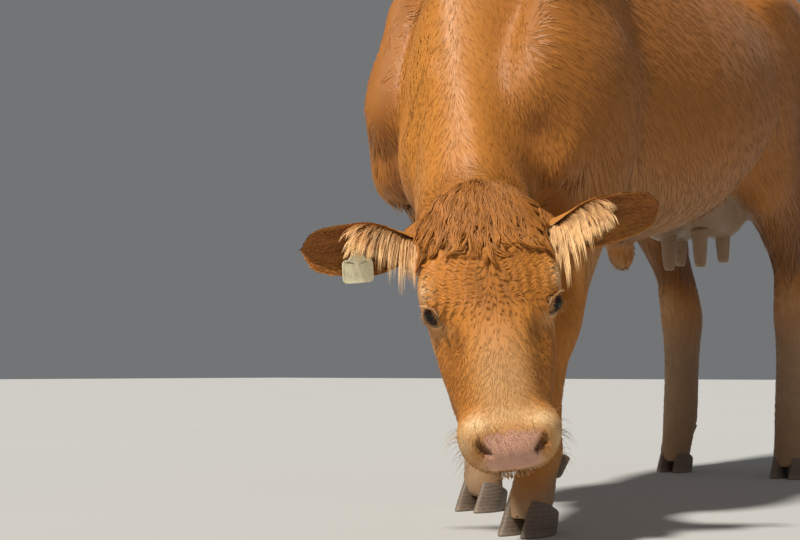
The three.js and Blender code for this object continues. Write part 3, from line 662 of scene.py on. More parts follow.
def capped(points, rows, across):
    """A closed tube: its rings of points, a point in the middle of each end, and their faces."""
    ends = [points[:across].mean(0), points[-across:].mean(0)]
    n, j = len(points), np.arange(across)
    k = (j + 1) % across
    low = np.stack([k, j, np.full(across, n)], axis=1)
    high = np.stack([(rows - 1) * across + j, (rows - 1) * across + k, np.full(across, n + 1)], axis=1)
    return np.concatenate([points, ends]), [grid_faces(rows, across), np.concatenate([low, high])]


def joined(parts):
    """Several (points, faces) in one, with the faces' numbers moved on."""
    points, faces, start = [], [], 0
    for p, f in parts:
        points.append(p)
        faces += [g + start for g in f]
        start += len(p)
    return np.concatenate(points), faces


def volume_of(points, faces):
    """Sum over the faces' triangles of a . (b x c) / 6, above 0 if they face outwards."""
    total = 0.0
    for f in faces:
        for k in range(1, f.shape[1] - 1):
            a, b, c = points[f[:, 0]], points[f[:, k]], points[f[:, k + 1]]
            total += float(np.sum(a * np.cross(b, c))) / 6
    return total


def outward(points, faces):
    """The same shape with its faces turned to the outside."""
    centred = points - points.mean(0)
    return (points, faces) if volume_of(centred, faces) > 0 else (points, [f[:, ::-1] for f in faces])


class Ear:
    """A cup whose frame has z from root to tip and y out of its mouth. At a share u of its length its
    middle curve is an arc of half width half(u) and half angle curl(u)."""

    def __init__(self, side, droop, forward, open_):
        a, b, c = (math.radians(v) for v in (droop, forward, open_))
        along = unit(np.array([side * math.cos(a), -math.sin(b), -math.sin(a)]))
        mouth = np.array([0, -math.cos(c), -math.sin(c)])
        mouth = unit(mouth - along * (mouth @ along))
        self.side, self.turn = side, np.stack([np.cross(mouth, along), mouth, along], axis=1)
        self.root = np.array([side * 100.0, 60.0, -50.0])

    def point(self, u, v, offset):
        """A point at share u along and v across, -1 to 1, some millimetres outside the middle curve."""
        u, v, offset = np.broadcast_arrays(np.asarray(u, float), v, offset)
        tip = round_end(u, 0.88, 0.125, 0.02)
        blunt = 0.55 - 0.29 * smooth(u, 0.3, 0.8)
        rise = np.abs(np.sin(math.pi * (0.1 + 0.9 * np.minimum(u, 1)) ** 0.95)) ** blunt
        half = (EAR_HALF * rise + 3) * np.where(u > 0.88, np.maximum(tip, 0.15), 1)
        curl = np.radians(140 - 92 * smooth(u, 0, 0.55) - 18 * u)
        radius = half / curl
        r, angle = radius + offset, curl * v
        q = np.stack([r * np.sin(angle), radius - r * np.cos(angle), u * EAR_LENGTH], axis=-1)
        return from_head(q @ self.turn.T + self.root)


EARS = {"left": Ear(1, -2, 12, 50), "right": Ear(-1, 2, 12, 36)}
EAR_ROWS, EAR_ACROSS = 44, 36


def ear_grid():
    """The shares along the ear of its rings of points, and the angles round a ring."""
    u = 0.03 + 0.965 * np.sin(np.linspace(0, math.pi / 2, EAR_ROWS))[:, None]
    return u, turns(EAR_ACROSS)[None]


def ear_shell(ear):
    """The wall of an ear: round each section the share across is 0.95 sin(t) and the offset follows
    cos(t), raised to a low power so that only the rim is round. Low ridges run along the cup."""
    u, t = ear_grid()
    wall = 3.2 * (1 - 0.4 * u)
    round_ = np.sign(np.cos(t)) * np.abs(np.cos(t)) ** 0.35
    ridges = np.where(np.cos(t) < 0, 1.3 * np.cos(9 * np.sin(t)) * smooth(u, 0.1, 0.3), 0)
    edge = 1 - 0.03 * np.cos(u * 31) * smooth(u, 0.2, 0.5)
    points = ear.point(u, 0.95 * edge * np.sin(t), wall * round_ + ridges)
    return outward(*capped(points.reshape(-1, 3), EAR_ROWS, EAR_ACROSS))


def teat_shell(at, rows=22, across=14):
    """A drop turned about a line down from the bag: radius 23.5 to 12.5, with faint rings and a round end."""
    s = np.linspace(0, 1, rows)[:, None]
    z = 26 - 103.5 * np.sin(s * math.pi / 2)
    r = (23.5 - 11 * s**0.8) * round_end(s, 0.72, 0.29, 0.01) + 0.35 * np.sin(z / 1.4)
    t = turns(across)[None]
    points = np.stack([r * np.cos(t), r * np.sin(t), z + 0 * t], axis=-1) + np.array(at, float)
    return outward(*capped(points.reshape(-1, 3), rows, across))


def eye_axes(side):
    """The eye's middle, its gaze, the direction to its tear duct and the one to its upper lid, in the
    head's frame."""
    gaze = unit(np.array([side * 0.68, -0.64, -0.36]))
    duct = np.array([-side * 0.25, -0.27, -0.93])
    duct = unit(duct - gaze * (duct @ gaze))
    upper = np.cross(gaze, duct)
    return np.array(EYE) * (side, 1, 1), gaze, duct, upper * (-1 if upper[1] > 0 else 1)


def eye_rays(axes, t, angle):
    """Spokes at t round the gaze, square to it, and the rays at an angle from it towards them."""
    _, gaze, duct, over = axes
    spoke = duct * np.cos(t)[..., None] + over * np.sin(t)[..., None]
    return spoke, gaze * np.cos(angle)[..., None] + spoke * np.sin(angle)[..., None]


def eye_opening(t):
    """The half angle of the gap between the lids at t round it: an almond that reaches furthest to the
    tear duct."""
    along = np.where(np.cos(t) > 0, 62.0, 42.0)
    over = np.where(np.sin(t) > 0, 31.0, 24.0)
    n = 1.7
    k = (np.abs(np.cos(t) / along) ** n + np.abs(np.sin(t) / over) ** n) ** (-1 / n)
    return np.radians(k)


def lid_ring(side, rows=18, around=72):
    """The lids as one ring: rays from the eye's middle, a short round edge, a fold, and then the skin's
    own distance along the ray, found by halving steps."""
    axes = eye_axes(side)
    middle = axes[0]
    t = turns(around)[None]
    s = np.linspace(0, 1, rows)[:, None] ** 1.15
    first = eye_opening(t)
    angle = first + (np.radians(99) - first) * s
    ray = eye_rays(axes, t, angle)[1]
    near, far = np.full(ray.shape[:2], EYE_RADIUS - 4.0), np.full(ray.shape[:2], EYE_RADIUS + 16.0)
    for _ in range(9):
        r = (near + far) / 2
        inside = head_skin(from_head((middle + ray * r[..., None]).reshape(-1, 3))).reshape(r.shape) < 0
        near, far = np.where(inside, r, near), np.where(inside, far, r)
    swelling, fold = np.exp(-(((s - 0.16) / 0.09) ** 2)), np.exp(-(((s - 0.36) / 0.07) ** 2))
    lid = EYE_RADIUS + 2.5 + 0.9 * swelling - 1.3 * fold
    r = np.maximum(lid, near) - 1.5 * smooth(s, 0.75, 1)
    edge = EYE_RADIUS + 0.5 + 2.0 * np.sin(np.clip(s / 0.09, 0, 1) * math.pi / 2)
    r = np.where(s < 0.09, edge, r)
    outer = (middle + ray * r[..., None]).reshape(-1, 3)
    inner = (middle + ray * (r - 2.2 - 2 * smooth(s, 0.8, 1))[..., None])[::-1]
    inner = np.where(np.arange(rows)[:, None, None] == rows - 1, middle + ray[0] * (EYE_RADIUS + 0.3), inner)
    points = from_head(np.concatenate([outer, inner.reshape(-1, 3)]))
    faces = np.concatenate([grid_faces(2 * rows, around), closing(2 * rows, around)])
    return outward(points, [faces])


def closing(rows, across):
    """Quads that join a tube's last ring to its first."""
    j = np.arange(across)
    k = (j + 1) % across
    last = (rows - 1) * across
    return np.stack([last + j, last + k, k, j], axis=1)


# The coat's colours and the way it lies, the same for skin and hair.


def near_loft(loft, p, low, high):
    """1 at a loft's surface and inside it, falling to 0 between low and high millimetres outside."""
    return 1 - smooth(loft_field(loft, p), low, high)


def bag_share(p):
    """1 on the udder and the teats, 0 on the belly."""
    bag = 1 - smooth(reach_of(udder_field, p, *UDDER_BOX), 4, 30)
    far = [np.linalg.norm((p - at) / (1, 1, 3.0), axis=1) for at in TEATS.values()]
    teats = 1 - smooth(np.minimum.reduce(far), 36, 48)
    return np.maximum(bag * (1 - smooth(p[:, 2], 800, 850)), teats)


def neck_share(p):
    """1 on the neck, 0 on head and trunk."""
    q = neck_loft.local(p)
    near = near_loft(neck_loft, p, 20, 90)
    return near * smooth(q[:, 2] / NECK_LENGTH, -0.12, 0.2) * (1 - head_share(p))


def muzzle_share(q):
    """1 on the bare pad between and round the nostrils, in the head's frame."""
    wide = 1 - smooth(np.abs(q[:, 0]), 40, 52)
    tall = smooth(-q[:, 2], 424 + 0.1 * np.abs(q[:, 0]), 434 + 0.1 * np.abs(q[:, 0]))
    return wide * tall * (1 - smooth(q[:, 1], -14, 6))


def mixed(base, colour, share):
    """Colours turned into another by a share for each point."""
    return base + (np.array(colour) - base) * share[:, None]


def markings(p, normal):
    """The coat's colour at points: golden red, darker on the poll, the neck's sides and the shoulder's
    fold, paler on the belly, the insides, the lower legs and the udder, with cream on brows and muzzle."""
    c = bpy.context.scene.cow_colours
    q, m = to_head(p), mirrored(to_head(p))
    on_head, on_neck = head_share(p), neck_share(p)
    colour = np.tile(np.array(c.golden, float), (len(p), 1))
    down = np.clip(-normal[:, 2], 0, 1)
    body = 1 - on_head
    belly = body * (1 - on_neck) * np.clip(smooth(-p[:, 2], -860, -600) * smooth(down, 0.1, 0.7) * 1.2, 0, 1)
    low = body * (1 - smooth(p[:, 2], 330, 620))
    inner = body * (1 - smooth(p[:, 2], 640, 900)) * smooth(-normal[:, 0] * np.sign(p[:, 0]), 0.1, 0.8)
    back = body * smooth(normal[:, 2], 0.5, 0.95) * smooth(p[:, 2], 1000, 1200)
    crest = neck_loft.local(p)
    parting = on_neck * np.exp(-((crest[:, 0] / 11) ** 2)) * (crest[:, 1] > 0)
    trunk = body * (1 - on_neck) * smooth(p[:, 2], 560, 700)
    quarter = (1 - smooth(p[:, 2], 1050, 1250)) * smooth(p[:, 1], 400, 620) * smooth(p[:, 2], 480, 620)
    poll = on_head * smooth(q[:, 2], -115, -50) * (1 - smooth(q[:, 1], 50, 120))
    for tone, share in (
        (c.pale, 0.8 * belly),
        (c.shin, 0.8 * low),
        (c.pale, 0.4 * inner * (1 - smooth(p[:, 1], 300, 420))),
        (c.golden, 0.3 * back),
        # painted shade under the neck, deeper where its surface faces down
        (c.deep, 0.35 * on_neck * smooth(-normal[:, 2], -0.2, 0.7)),
        # painted shade on the neck's left side and into the fold before the shoulder, the side turned from
        # the light
        (c.deep, 0.45 * on_neck * smooth(crest[:, 0], 10, 70)),
        (c.rose, 0.22 * parting),
        (c.deep, 0.65 * trunk * (1 - 0.6 * belly)),
        # the hindquarters and hind legs darkened: partly their deeper brown, partly painted shade of the
        # belly's shadow
        (np.array(c.deep) * 0.55, 0.85 * body * quarter),
        (c.deep, 0.4 * poll),
        (c.deep, 0.5 * on_head * spot(q, (0, -55, -180), (30, 60, 62))),
    ):
        colour = mixed(colour, tone, share)
    for centre, radii, share in (
        ((108, -28, -174), (18, 24, 24), 0.9),  # the brow, above and outside the eye
        ((96, -14, -234), (20, 22, 12), 0.35),
        ((54, -40, -414), (24, 26, 17), 0.95),  # over each nostril
        ((76, -16, -436), (18, 26, 26), 0.9),
        ((8, -46, -402), (30, 22, 20), 0.45),
        ((12, -50, -340), (34, 50, 76), 0.42),
        ((0, 50, -440), (60, 50, 40), 0.75),  # the chin and lower lip
        ((30, -16, -484), (44, 24, 14), 0.8),
    ):
        colour = mixed(colour, c.cream, share * on_head * spot(m, centre, radii))
    for tone, share in (
        # painted shade in the hollow below each eye
        (np.array(c.deep) * 0.7, 0.6 * on_head * spot(m, (68, -28, -258), (16, 30, 24))),
        # painted shade down each side of the face, where the cheek turns from the light
        (c.deep, 0.65 * on_head * spot(m, (84, 6, -310), (24, 44, 66))),
        (c.rose, 0.35 * on_head * spot(m, (0, -60, -270), (30, 30, 50))),
        (c.nose, on_head * muzzle_share(q)),
        # painted shade: near black in and round the nostrils' bores
        ((0.03, 0.01, 0.006), 1 - smooth(nostril_distance(m), -1.8, 1.2)),
        # the udder's colour, made darker partly as painted shade under the belly
        (c.udder, bag_share(p)),
    ):
        colour = mixed(colour, tone, share)
    return colour


def along_surface(d, normal):
    """Directions laid into the surface, one long."""
    d = d - normal * np.sum(d * normal, axis=1, keepdims=True)
    return unit(d)


def lie(p, normal):
    """The way the hair lies: on the body backwards and down, on the legs down, on the neck out from its
    crest and then towards the head, on the poll away from its crown, on the brow outwards, and down the
    face from the whorl."""
    q = to_head(p)
    x, y, z = q.T
    one = np.ones(len(p))
    side = np.sign(p[:, 0])
    body = np.stack([0.15 * side * normal[:, 2], one, -0.6 * np.abs(normal[:, 0]) - 0.12], axis=1)
    legs = 1 - smooth(p[:, 2], 560, 800)
    body += legs[:, None] * (np.array([0, 0.1, -1.3]) - body)
    tail = near_loft(tail_loft, p, 6, 30) * smooth(p[:, 1], 800, 850)
    body += tail[:, None] * (np.array([0.1, 0.1, -1.0]) - body)
    n = neck_loft.local(p)
    outer = smooth(np.abs(n[:, 0]), 16, 95)
    way = np.tanh(n[:, 0] / 34) * (1 - 0.75 * outer)
    neck = np.stack([0.8 * way, -0.25 * outer, 0.75 + 0.4 * outer], axis=1) @ NECK_TURN.T
    d = body + neck_share(p)[:, None] * (neck - body)
    crown = unit(q - CROWN)
    brow = np.stack([np.tanh(x / 16), 0.2 * one, 0.0035 * (z + 200) + 0.12], axis=1)
    middle = np.exp(-((x / 20) ** 2))[:, None]
    brow = brow * (1 - middle) + middle * np.stack([x / 30, 0 * one, -one], axis=1)
    face = np.stack([0.75 * np.tanh(x / 40), 0.1 * one, -one], axis=1)
    cheek = np.stack([0 * one, 0.9 * one, -0.6 * one], axis=1)
    share = (smooth(np.abs(x), 62, 92) * smooth(y, -20, 30))[:, None]
    face += share * (cheek - face)
    head = face + smooth(z, -222, -196)[:, None] * (brow - face)
    head = head + smooth(z, -128, -96)[:, None] * (crown - head)
    jaw = (smooth(y, 60, 110) * smooth(-z, 60, 110))[:, None]
    head = head + jaw * (np.array([0, 0.9, -0.35]) - head)
    nape = (smooth(y, -12, 22) * smooth(z, -90, -50))[:, None]
    head = head + nape * (np.stack([0.7 * np.tanh(x / 60), -0.9 * one, 0.1 * one], axis=1) - head)
    d = d + head_share(p)[:, None] * (head @ HEAD_TURN.T - d)
    return along_surface(unit(d), normal)


# Tufts. Every coat piece is one mesh: closed three-sided prisms that taper along a centre line.

SKIN = {}  # the finished skin's points, normals, quads and map, which every coat piece grows from
PATCH = 0.003  # a tuft's size on the skin's map


class Roots:
    """Places on the skin, spread evenly by a density: stratified steps along the running sum of each
    face's area times density choose the face, and two random shares the place in it."""

    def __init__(self, seed, count, density):
        self.random = np.random.default_rng(seed)
        p, n, quads, uv = (SKIN[k] for k in ("points", "normals", "quads", "uv"))
        net = quads[:, 0] < SKIN["counts"][0]  # ears, lids and teats have their own hair or none
        quads, uv = quads[net], uv[net]
        mid = p[quads].mean(1)
        across = np.cross(p[quads[:, 2]] - p[quads[:, 0]], p[quads[:, 3]] - p[quads[:, 1]])
        area = np.linalg.norm(across, axis=1) / 2
        run = np.cumsum(area * density(mid, n[quads].mean(1)))
        pick = (np.arange(count) + self.random.random(count)) * (run[-1] / count)
        face = np.minimum(np.searchsorted(run, pick), len(quads) - 1)
        a, b = self.random.random((2, count, 1))
        share = np.concatenate([(1 - a) * (1 - b), a * (1 - b), a * b, (1 - a) * b], axis=1)[..., None]
        self.p = np.sum(p[quads[face]] * share, axis=1)
        self.n = unit(np.sum(n[quads[face]] * share, axis=1))
        self.uv = np.sum(uv[face] * share, axis=1)
        self.count = count
        self.chance = self.random.random((count, 6))


def march(roots, length, height, steps, bend=None):
    """Centre lines that follow the lie of the coat: each step goes length / steps along it, and then to
    its own height above the skin, given as a share of the way along."""
    p, n = roots.p - roots.n * 1.5, roots.n
    line = [p]
    for k in range(1, steps + 1):
        d = lie(p, n)
        if bend is not None:
            d = along_surface(d + np.cross(n, d) * bend[:, None], n)
        p = p + d * (length / steps)[:, None]
        value = skin_field(p)
        p = p + n * np.clip(height(k / steps) - value, -14, 14)[:, None]
        if steps > 3 and k < steps:
            n = slope_of(head_skin, p, 4.0)[1]
        line.append(p)
    return np.stack(line, axis=1)


def nearest_of(places, points, step):
    """The number of the place nearest to each point, worked out for step points at a time."""
    return np.concatenate([
        np.argmin(((points[i : i + step, None] - places[None]) ** 2).sum(-1), axis=1)
        for i in range(0, len(points), step)
    ])


def clump(lines, random, size, pull, rise):
    """Draws every line towards the nearest guide, one line in size, by pull times s^rise along it."""
    guides = lines[random.choice(len(lines), max(1, len(lines) // size), replace=False)]
    middle, step = lines[:, lines.shape[1] // 2], max(1, 4_000_000 // len(guides))
    nearest = nearest_of(guides[:, guides.shape[1] // 2], middle, step)
    s = np.linspace(0, 1, lines.shape[1])[None, :, None] ** rise
    return lines + (guides[nearest] - lines) * pull * s


def tuft_shape(lines, normals, wide, thick, taper):
    """Rings of three points round each centre line: left, right and top, narrowed by the taper's shares,
    and one point at the tip."""
    count, rings = lines.shape[0], lines.shape[1] - 1
    tangent = unit(np.gradient(lines, axis=1))
    side = unit(np.cross(tangent, normals[:, None, :]))
    up = np.cross(side, tangent)
    up = up * np.sign(np.sum(up * normals[:, None, :], axis=2, keepdims=True) + 1e-9)
    w = np.asarray(wide, float).reshape(-1, 1, 1) * np.asarray(taper)[None, :, None]
    t = np.asarray(thick, float).reshape(-1, 1, 1) * np.asarray(taper)[None, :, None]
    c, side, up = lines[:, :-1], side[:, :-1], up[:, :-1]
    ring = np.stack([c - side * w - up * t * 0.4, c + side * w - up * t * 0.4, c + up * t], axis=2)
    return np.concatenate([ring.reshape(count, rings * 3, 3), lines[:, -1:]], axis=1)


def tuft_faces(count, rings):
    """Faces of count tufts of that many rings: quads along the sides, a tip of three and a base of one."""
    per = rings * 3 + 1
    sides = [(3 * k, i, (i + 1) % 3) for k in range(rings - 1) for i in range(3)]
    quads = [[k + i, k + 3 + i, k + 3 + j, k + j] for k, i, j in sides]
    last = 3 * (rings - 1)
    tris = [[last + (i + 1) % 3, last + i, per - 1] for i in range(3)] + [[0, 1, 2]]
    start = per * np.arange(count)[:, None, None]
    shapes = [np.array(tris)] + ([np.array(quads)] if quads else [])
    return [(start + s[None]).reshape(-1, s.shape[1]) for s in shapes]


# Shader maths and materials.


def sum_node(operation, swap=False):
    """A method that adds a Math node for this number and another."""

    def method(self, other):
        values = [other, self] if swap else [self, other]
        return self.tree.node("ShaderNodeMath", {"operation": operation}, dict(enumerate(values)))

    return method


class Wire:
    """A socket in a material. Sums on numbers add Math nodes, and colours have methods."""

    __add__ = __radd__ = sum_node("ADD")
    __mul__ = __rmul__ = sum_node("MULTIPLY")
    __sub__, __rsub__ = sum_node("SUBTRACT"), sum_node("SUBTRACT", swap=True)

    def __init__(self, tree, socket):
        self.tree, self.socket = tree, socket

    def between(self, low, high):
        """0 below low, 1 above high and smooth between them."""
        settings = {"interpolation_type": "SMOOTHSTEP"}
        values = {"Value": self, "From Min": low, "From Max": high}
        return self.tree.node("ShaderNodeMapRange", settings, values)

    def mix(self, other, share, kind="MIX"):
        """This colour turned into the other by a share."""
        settings = {"data_type": "RGBA", "blend_type": kind}
        return self.tree.node("ShaderNodeMix", settings, {0: share, 6: self, 7: other}, 2)

    def times(self, other, share=1.0):
        """This colour multiplied by the other."""
        return self.mix(other, share, "MULTIPLY")


class Finish:
    """A material and its nodes. The fixed numbers go on the shader's own sockets."""

    def __init__(self, name, **sockets):
        self.material = bpy.data.materials.new(name)
        self.material.use_nodes = True
        self.nodes = self.material.node_tree
        self.shader = self.nodes.nodes["Principled BSDF"]
        for key, value in sockets.items():
            self.shader.inputs[key.replace("_", " ")].default_value = value

    def node(self, kind, settings=None, sockets=None, out=0):
        """Adds one node: its settings first, then the values or links of its sockets."""
        made = self.nodes.nodes.new(kind)
        for key, value in (settings or {}).items():
            setattr(made, key, value)
        for key, value in (sockets or {}).items():
            if isinstance(value, Wire):
                self.nodes.links.new(value.socket, made.inputs[key])
            else:
                made.inputs[key].default_value = value
        return Wire(self, made.outputs[out])

    def place(self):
        """The object's own coordinates, in metres."""
        return self.node("ShaderNodeTexCoord", out="Object")

    def value(self, name):
        """A number stored on the mesh."""
        return self.node("ShaderNodeAttribute", {"attribute_name": name}, out="Fac")

    def colour(self, name):
        """A colour stored on the mesh."""
        return self.node("ShaderNodeAttribute", {"attribute_name": name}, out="Color")

    def vector(self, name):
        """A vector stored on the mesh."""
        return self.node("ShaderNodeAttribute", {"attribute_name": name}, out="Vector")

    def noise(self, vector, scale, detail):
        sockets = {"Vector": vector, "Scale": scale, "Detail": detail, "Roughness": 0.5}
        return self.node("ShaderNodeTexNoise", {}, sockets)

    def cells(self, scale):
        """Distance from the edges of cells."""
        sockets = {"Vector": self.place(), "Scale": scale}
        return self.node("ShaderNodeTexVoronoi", {"feature": "DISTANCE_TO_EDGE"}, sockets)

    def streaks(self, across, scale, count):
        """Stripes along the hair: a Gabor pattern, count to a patch, whose waves run across it."""
        sockets = {"Vector": self.place(), "Scale": scale, "Frequency": count, "Anisotropy": 1.0, 5: across}
        return self.node("ShaderNodeTexGabor", {"gabor_type": "3D"}, sockets, "Value")

    def bump(self, height, distance, strength=1.0):
        sockets = {"Height": height, "Distance": distance, "Strength": strength}
        return self.node("ShaderNodeBump", {}, sockets)

    def set(self, **sockets):
        for key, value in sockets.items():
            self.nodes.links.new(value.socket, self.shader.inputs[key.replace("_", " ")])
        return self.material


def grey(v):
    return (v, v, v, 1.0)


def skin_finish():
    """Short hair drawn as streaks over the markings, and cobbled bare skin on muzzle and udder."""
    fixed = dict(Roughness=0.6, Sheen_Weight=0.05, Sheen_Roughness=0.45, Specular_IOR_Level=0.35)
    f = Finish("skin_and_short_hair", **fixed)
    tint, bare = f.colour("tint"), f.value("bare")
    coarse, fine = f.streaks(f.vector("across"), 40.0, 6.0), f.streaks(f.vector("across"), 90.0, 5.0)
    patch = f.noise(f.place(), 22.0, 4.0)
    hair = coarse * 0.5 + fine * 0.5
    shade = (hair * 0.5 + patch * 0.5).between(0.3, 0.75)
    coat = tint.times(grey(0.84)).mix(tint.times(grey(1.06)), shade)
    cobble_grooves = f.cells(330.0)
    # bare skin is darker along the edges of its cells: painted shade in the grooves between the cobbles
    naked = tint.times((0.8, 0.66, 0.62, 1.0)).mix(tint, cobble_grooves.between(0.0, 0.25) * 0.6 + 0.4)
    naked = naked.times((0.62, 0.45, 0.42, 1.0), f.noise(f.place(), 55.0, 3.0).between(0.52, 0.75) * 0.45)
    height = hair * (1 - bare) * 0.8 + cobble_grooves.between(0.0, 0.3) * bare * 0.6
    rough = 0.62 - bare * 0.27 + patch * 0.08
    return f.set(Base_Color=coat.mix(naked, bare), Roughness=rough, Normal=f.bump(height, 0.0014, 0.7))


def hair_finish(name, sheen=0.05, tip=1.08, root=0.88):
    """Tufts: the markings' colour, darker at the root and lighter at the tip, each its own shade, with
    fine streaks."""
    f = Finish(name, Roughness=0.5, Sheen_Weight=sheen, Sheen_Roughness=0.4, Specular_IOR_Level=0.3)
    tint, strand, shade = f.colour("tint"), f.value("strand"), f.value("shade")
    patch = f.noise(f.place(), 420.0, 2.0)
    # dark is painted shade at the roots; light is partly paler tips and partly painted highlight
    dark, light = tint.times(grey(root)), tint.times(grey(tip))
    run = strand.between(0.0, 0.8) * 0.7 + shade * 0.35 - 0.05 + (patch - 0.5) * 0.3
    rough, normal = 0.6 - shade * 0.16, f.bump(patch, 0.0006, 0.4)
    return f.set(Base_Color=dark.mix(light, run), Roughness=rough, Normal=normal)


def eye_finish():
    """Dark wet brown, with a wide pupil, and a reddish white at the corners."""
    f = Finish("wet_eye", Roughness=0.06, Coat_Weight=0.2, Coat_Roughness=0.03, IOR=1.2)
    iris, pupil = f.value("iris"), f.value("pupil")
    rays = f.noise(f.vector("spoke"), 26.0, 3.0)
    brown = f.colour("tint").times(grey(0.8)).mix((0.02, 0.008, 0.004, 1), rays.between(0.3, 0.7) * 0.6)
    inside = brown.mix((0.003, 0.002, 0.002, 1), pupil.between(0.9, 1.1))
    colour = inside.mix((0.12, 0.06, 0.045, 1), iris.between(0.9, 1.05))
    return f.set(Base_Color=colour, Roughness=rays * 0.05 + 0.04)


def horn_finish():
    """Grey-brown horn, ringed round the claw and streaked down it, worn pale at the edge of the sole."""
    f = Finish("hoof_horn", Roughness=0.5, Specular_IOR_Level=0.4)
    tall = f.value("strand")
    sockets = {"Vector": f.place(), "Scale": 42.0, "Distortion": 3.0, "Detail": 2.0}
    rings = f.node("ShaderNodeTexWave", {"bands_direction": "Z"}, sockets)
    grain = f.noise(f.place(), 160.0, 4.0)
    dark, light = f.colour("tint").times(grey(0.55)), f.colour("tint").times(grey(1.5))
    body = dark.mix(light, rings * 0.2 + grain * 0.8)
    worn = body.mix((0.32, 0.25, 0.19, 1), (1 - tall).between(0.72, 1.0) * grain)
    normal = f.bump(rings * 0.3 + grain * 0.5, 0.0009)
    return f.set(Base_Color=worn, Roughness=0.42 + grain * 0.25, Normal=normal)


def tag_finish():
    """Soft pale plastic with light in it, scuffed and a little dirty."""
    f = Finish("tag_plastic", Roughness=0.35, Subsurface_Weight=0.35, Subsurface_Radius=(0.004, 0.003, 0.002))
    dirt = f.noise(f.place(), 70.0, 5.0)
    scuff = f.noise(f.place(), 520.0, 2.0)
    colour = f.colour("tint").mix((0.42, 0.33, 0.2, 1), dirt.between(0.48, 0.8) * 0.45)
    return f.set(Base_Color=colour, Roughness=0.28 + scuff * 0.3, Normal=f.bump(scuff, 0.0003))


def floor_finish():
    """Pale matt plaster."""
    f = Finish("studio_floor", Roughness=0.9)
    cloud = f.noise(f.place(), 0.8, 4.0)
    return f.set(Base_Color=f.colour("tint").mix((0.6, 0.6, 0.59, 1), cloud * 0.3))


# Pieces.


def row_offset():
    """What the row frame's origin is in the cow's own frame, from where the left eye was packed."""
    low, high = (np.array(corner) * 1000 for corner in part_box("eye_left"))
    return (from_head(EYE) - (low + high) / 2) * (1, 1, 0)


OFFSET = row_offset()
FINISHES = {}  # materials that several pieces share


def finish_of(make, *args, **kwargs):
    """The material of that name, made at its first use."""
    key = (make.__name__, *args)
    if key not in FINISHES:
        FINISHES[key] = make(*args, **kwargs)
    return FINISHES[key]


def store(mesh, **values):
    """Keeps each array on the mesh's points under its name: numbers, vectors, or the colour tint."""
    count = len(mesh.vertices)
    for key, value in values.items():
        value = np.asarray(value, np.float32)
        kind, field = ("FLOAT", "value") if value.ndim == 1 else ("FLOAT_VECTOR", "vector")
        if key == "tint":
            kind, field = "FLOAT_COLOR", "color"
            value = np.hstack([np.broadcast_to(value, (count, 3)), np.ones((count, 1), np.float32)])
        mesh.attributes.new(key, kind, "POINT").data.foreach_set(field, value.ravel())


def normals_of(mesh):
    """Blender's own normals at the mesh's points."""
    flat = np.zeros(len(mesh.vertices) * 3, np.float32)
    mesh.vertex_normals.foreach_get("vector", flat)
    return flat.reshape(-1, 3)


def piece(
    name, points, faces, material, tint=None, replaces=(), slot=None, smooth_=True, stage=False, **values
):
    """A mesh object at the origin, from points in millimetres and arrays of faces. tint is a colour or
    one for each point; every other value is stored under its name."""
    mesh = bpy.data.meshes.new(name)
    mesh.vertices.add(len(points))
    mesh.vertices.foreach_set("co", ((points - OFFSET) / 1000).astype(np.float32).ravel())
    corners = np.concatenate([f.ravel() for f in faces]).astype(np.int32)
    sizes = np.concatenate([np.full(len(f), f.shape[1]) for f in faces])
    mesh.loops.add(len(corners))
    mesh.loops.foreach_set("vertex_index", corners)
    mesh.polygons.add(len(sizes))
    mesh.polygons.foreach_set("loop_start", np.concatenate([[0], np.cumsum(sizes)[:-1]]).astype(np.int32))
    mesh.polygons.foreach_set("use_smooth", np.full(len(sizes), smooth_))
    mesh.update(calc_edges=True)
    if mesh.validate():
        raise RuntimeError(name + " has faces that Blender had to mend")
    if tint is not None:
        store(mesh, tint=tint)
    store(mesh, **values)
    made = bpy.data.objects.new(name, mesh)
    mesh.materials.append(material)
    bpy.context.scene.collection.objects.link(made)
    if stage:
        return made
    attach(made, "root")
    if replaces:
        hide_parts(*replaces)
    return made


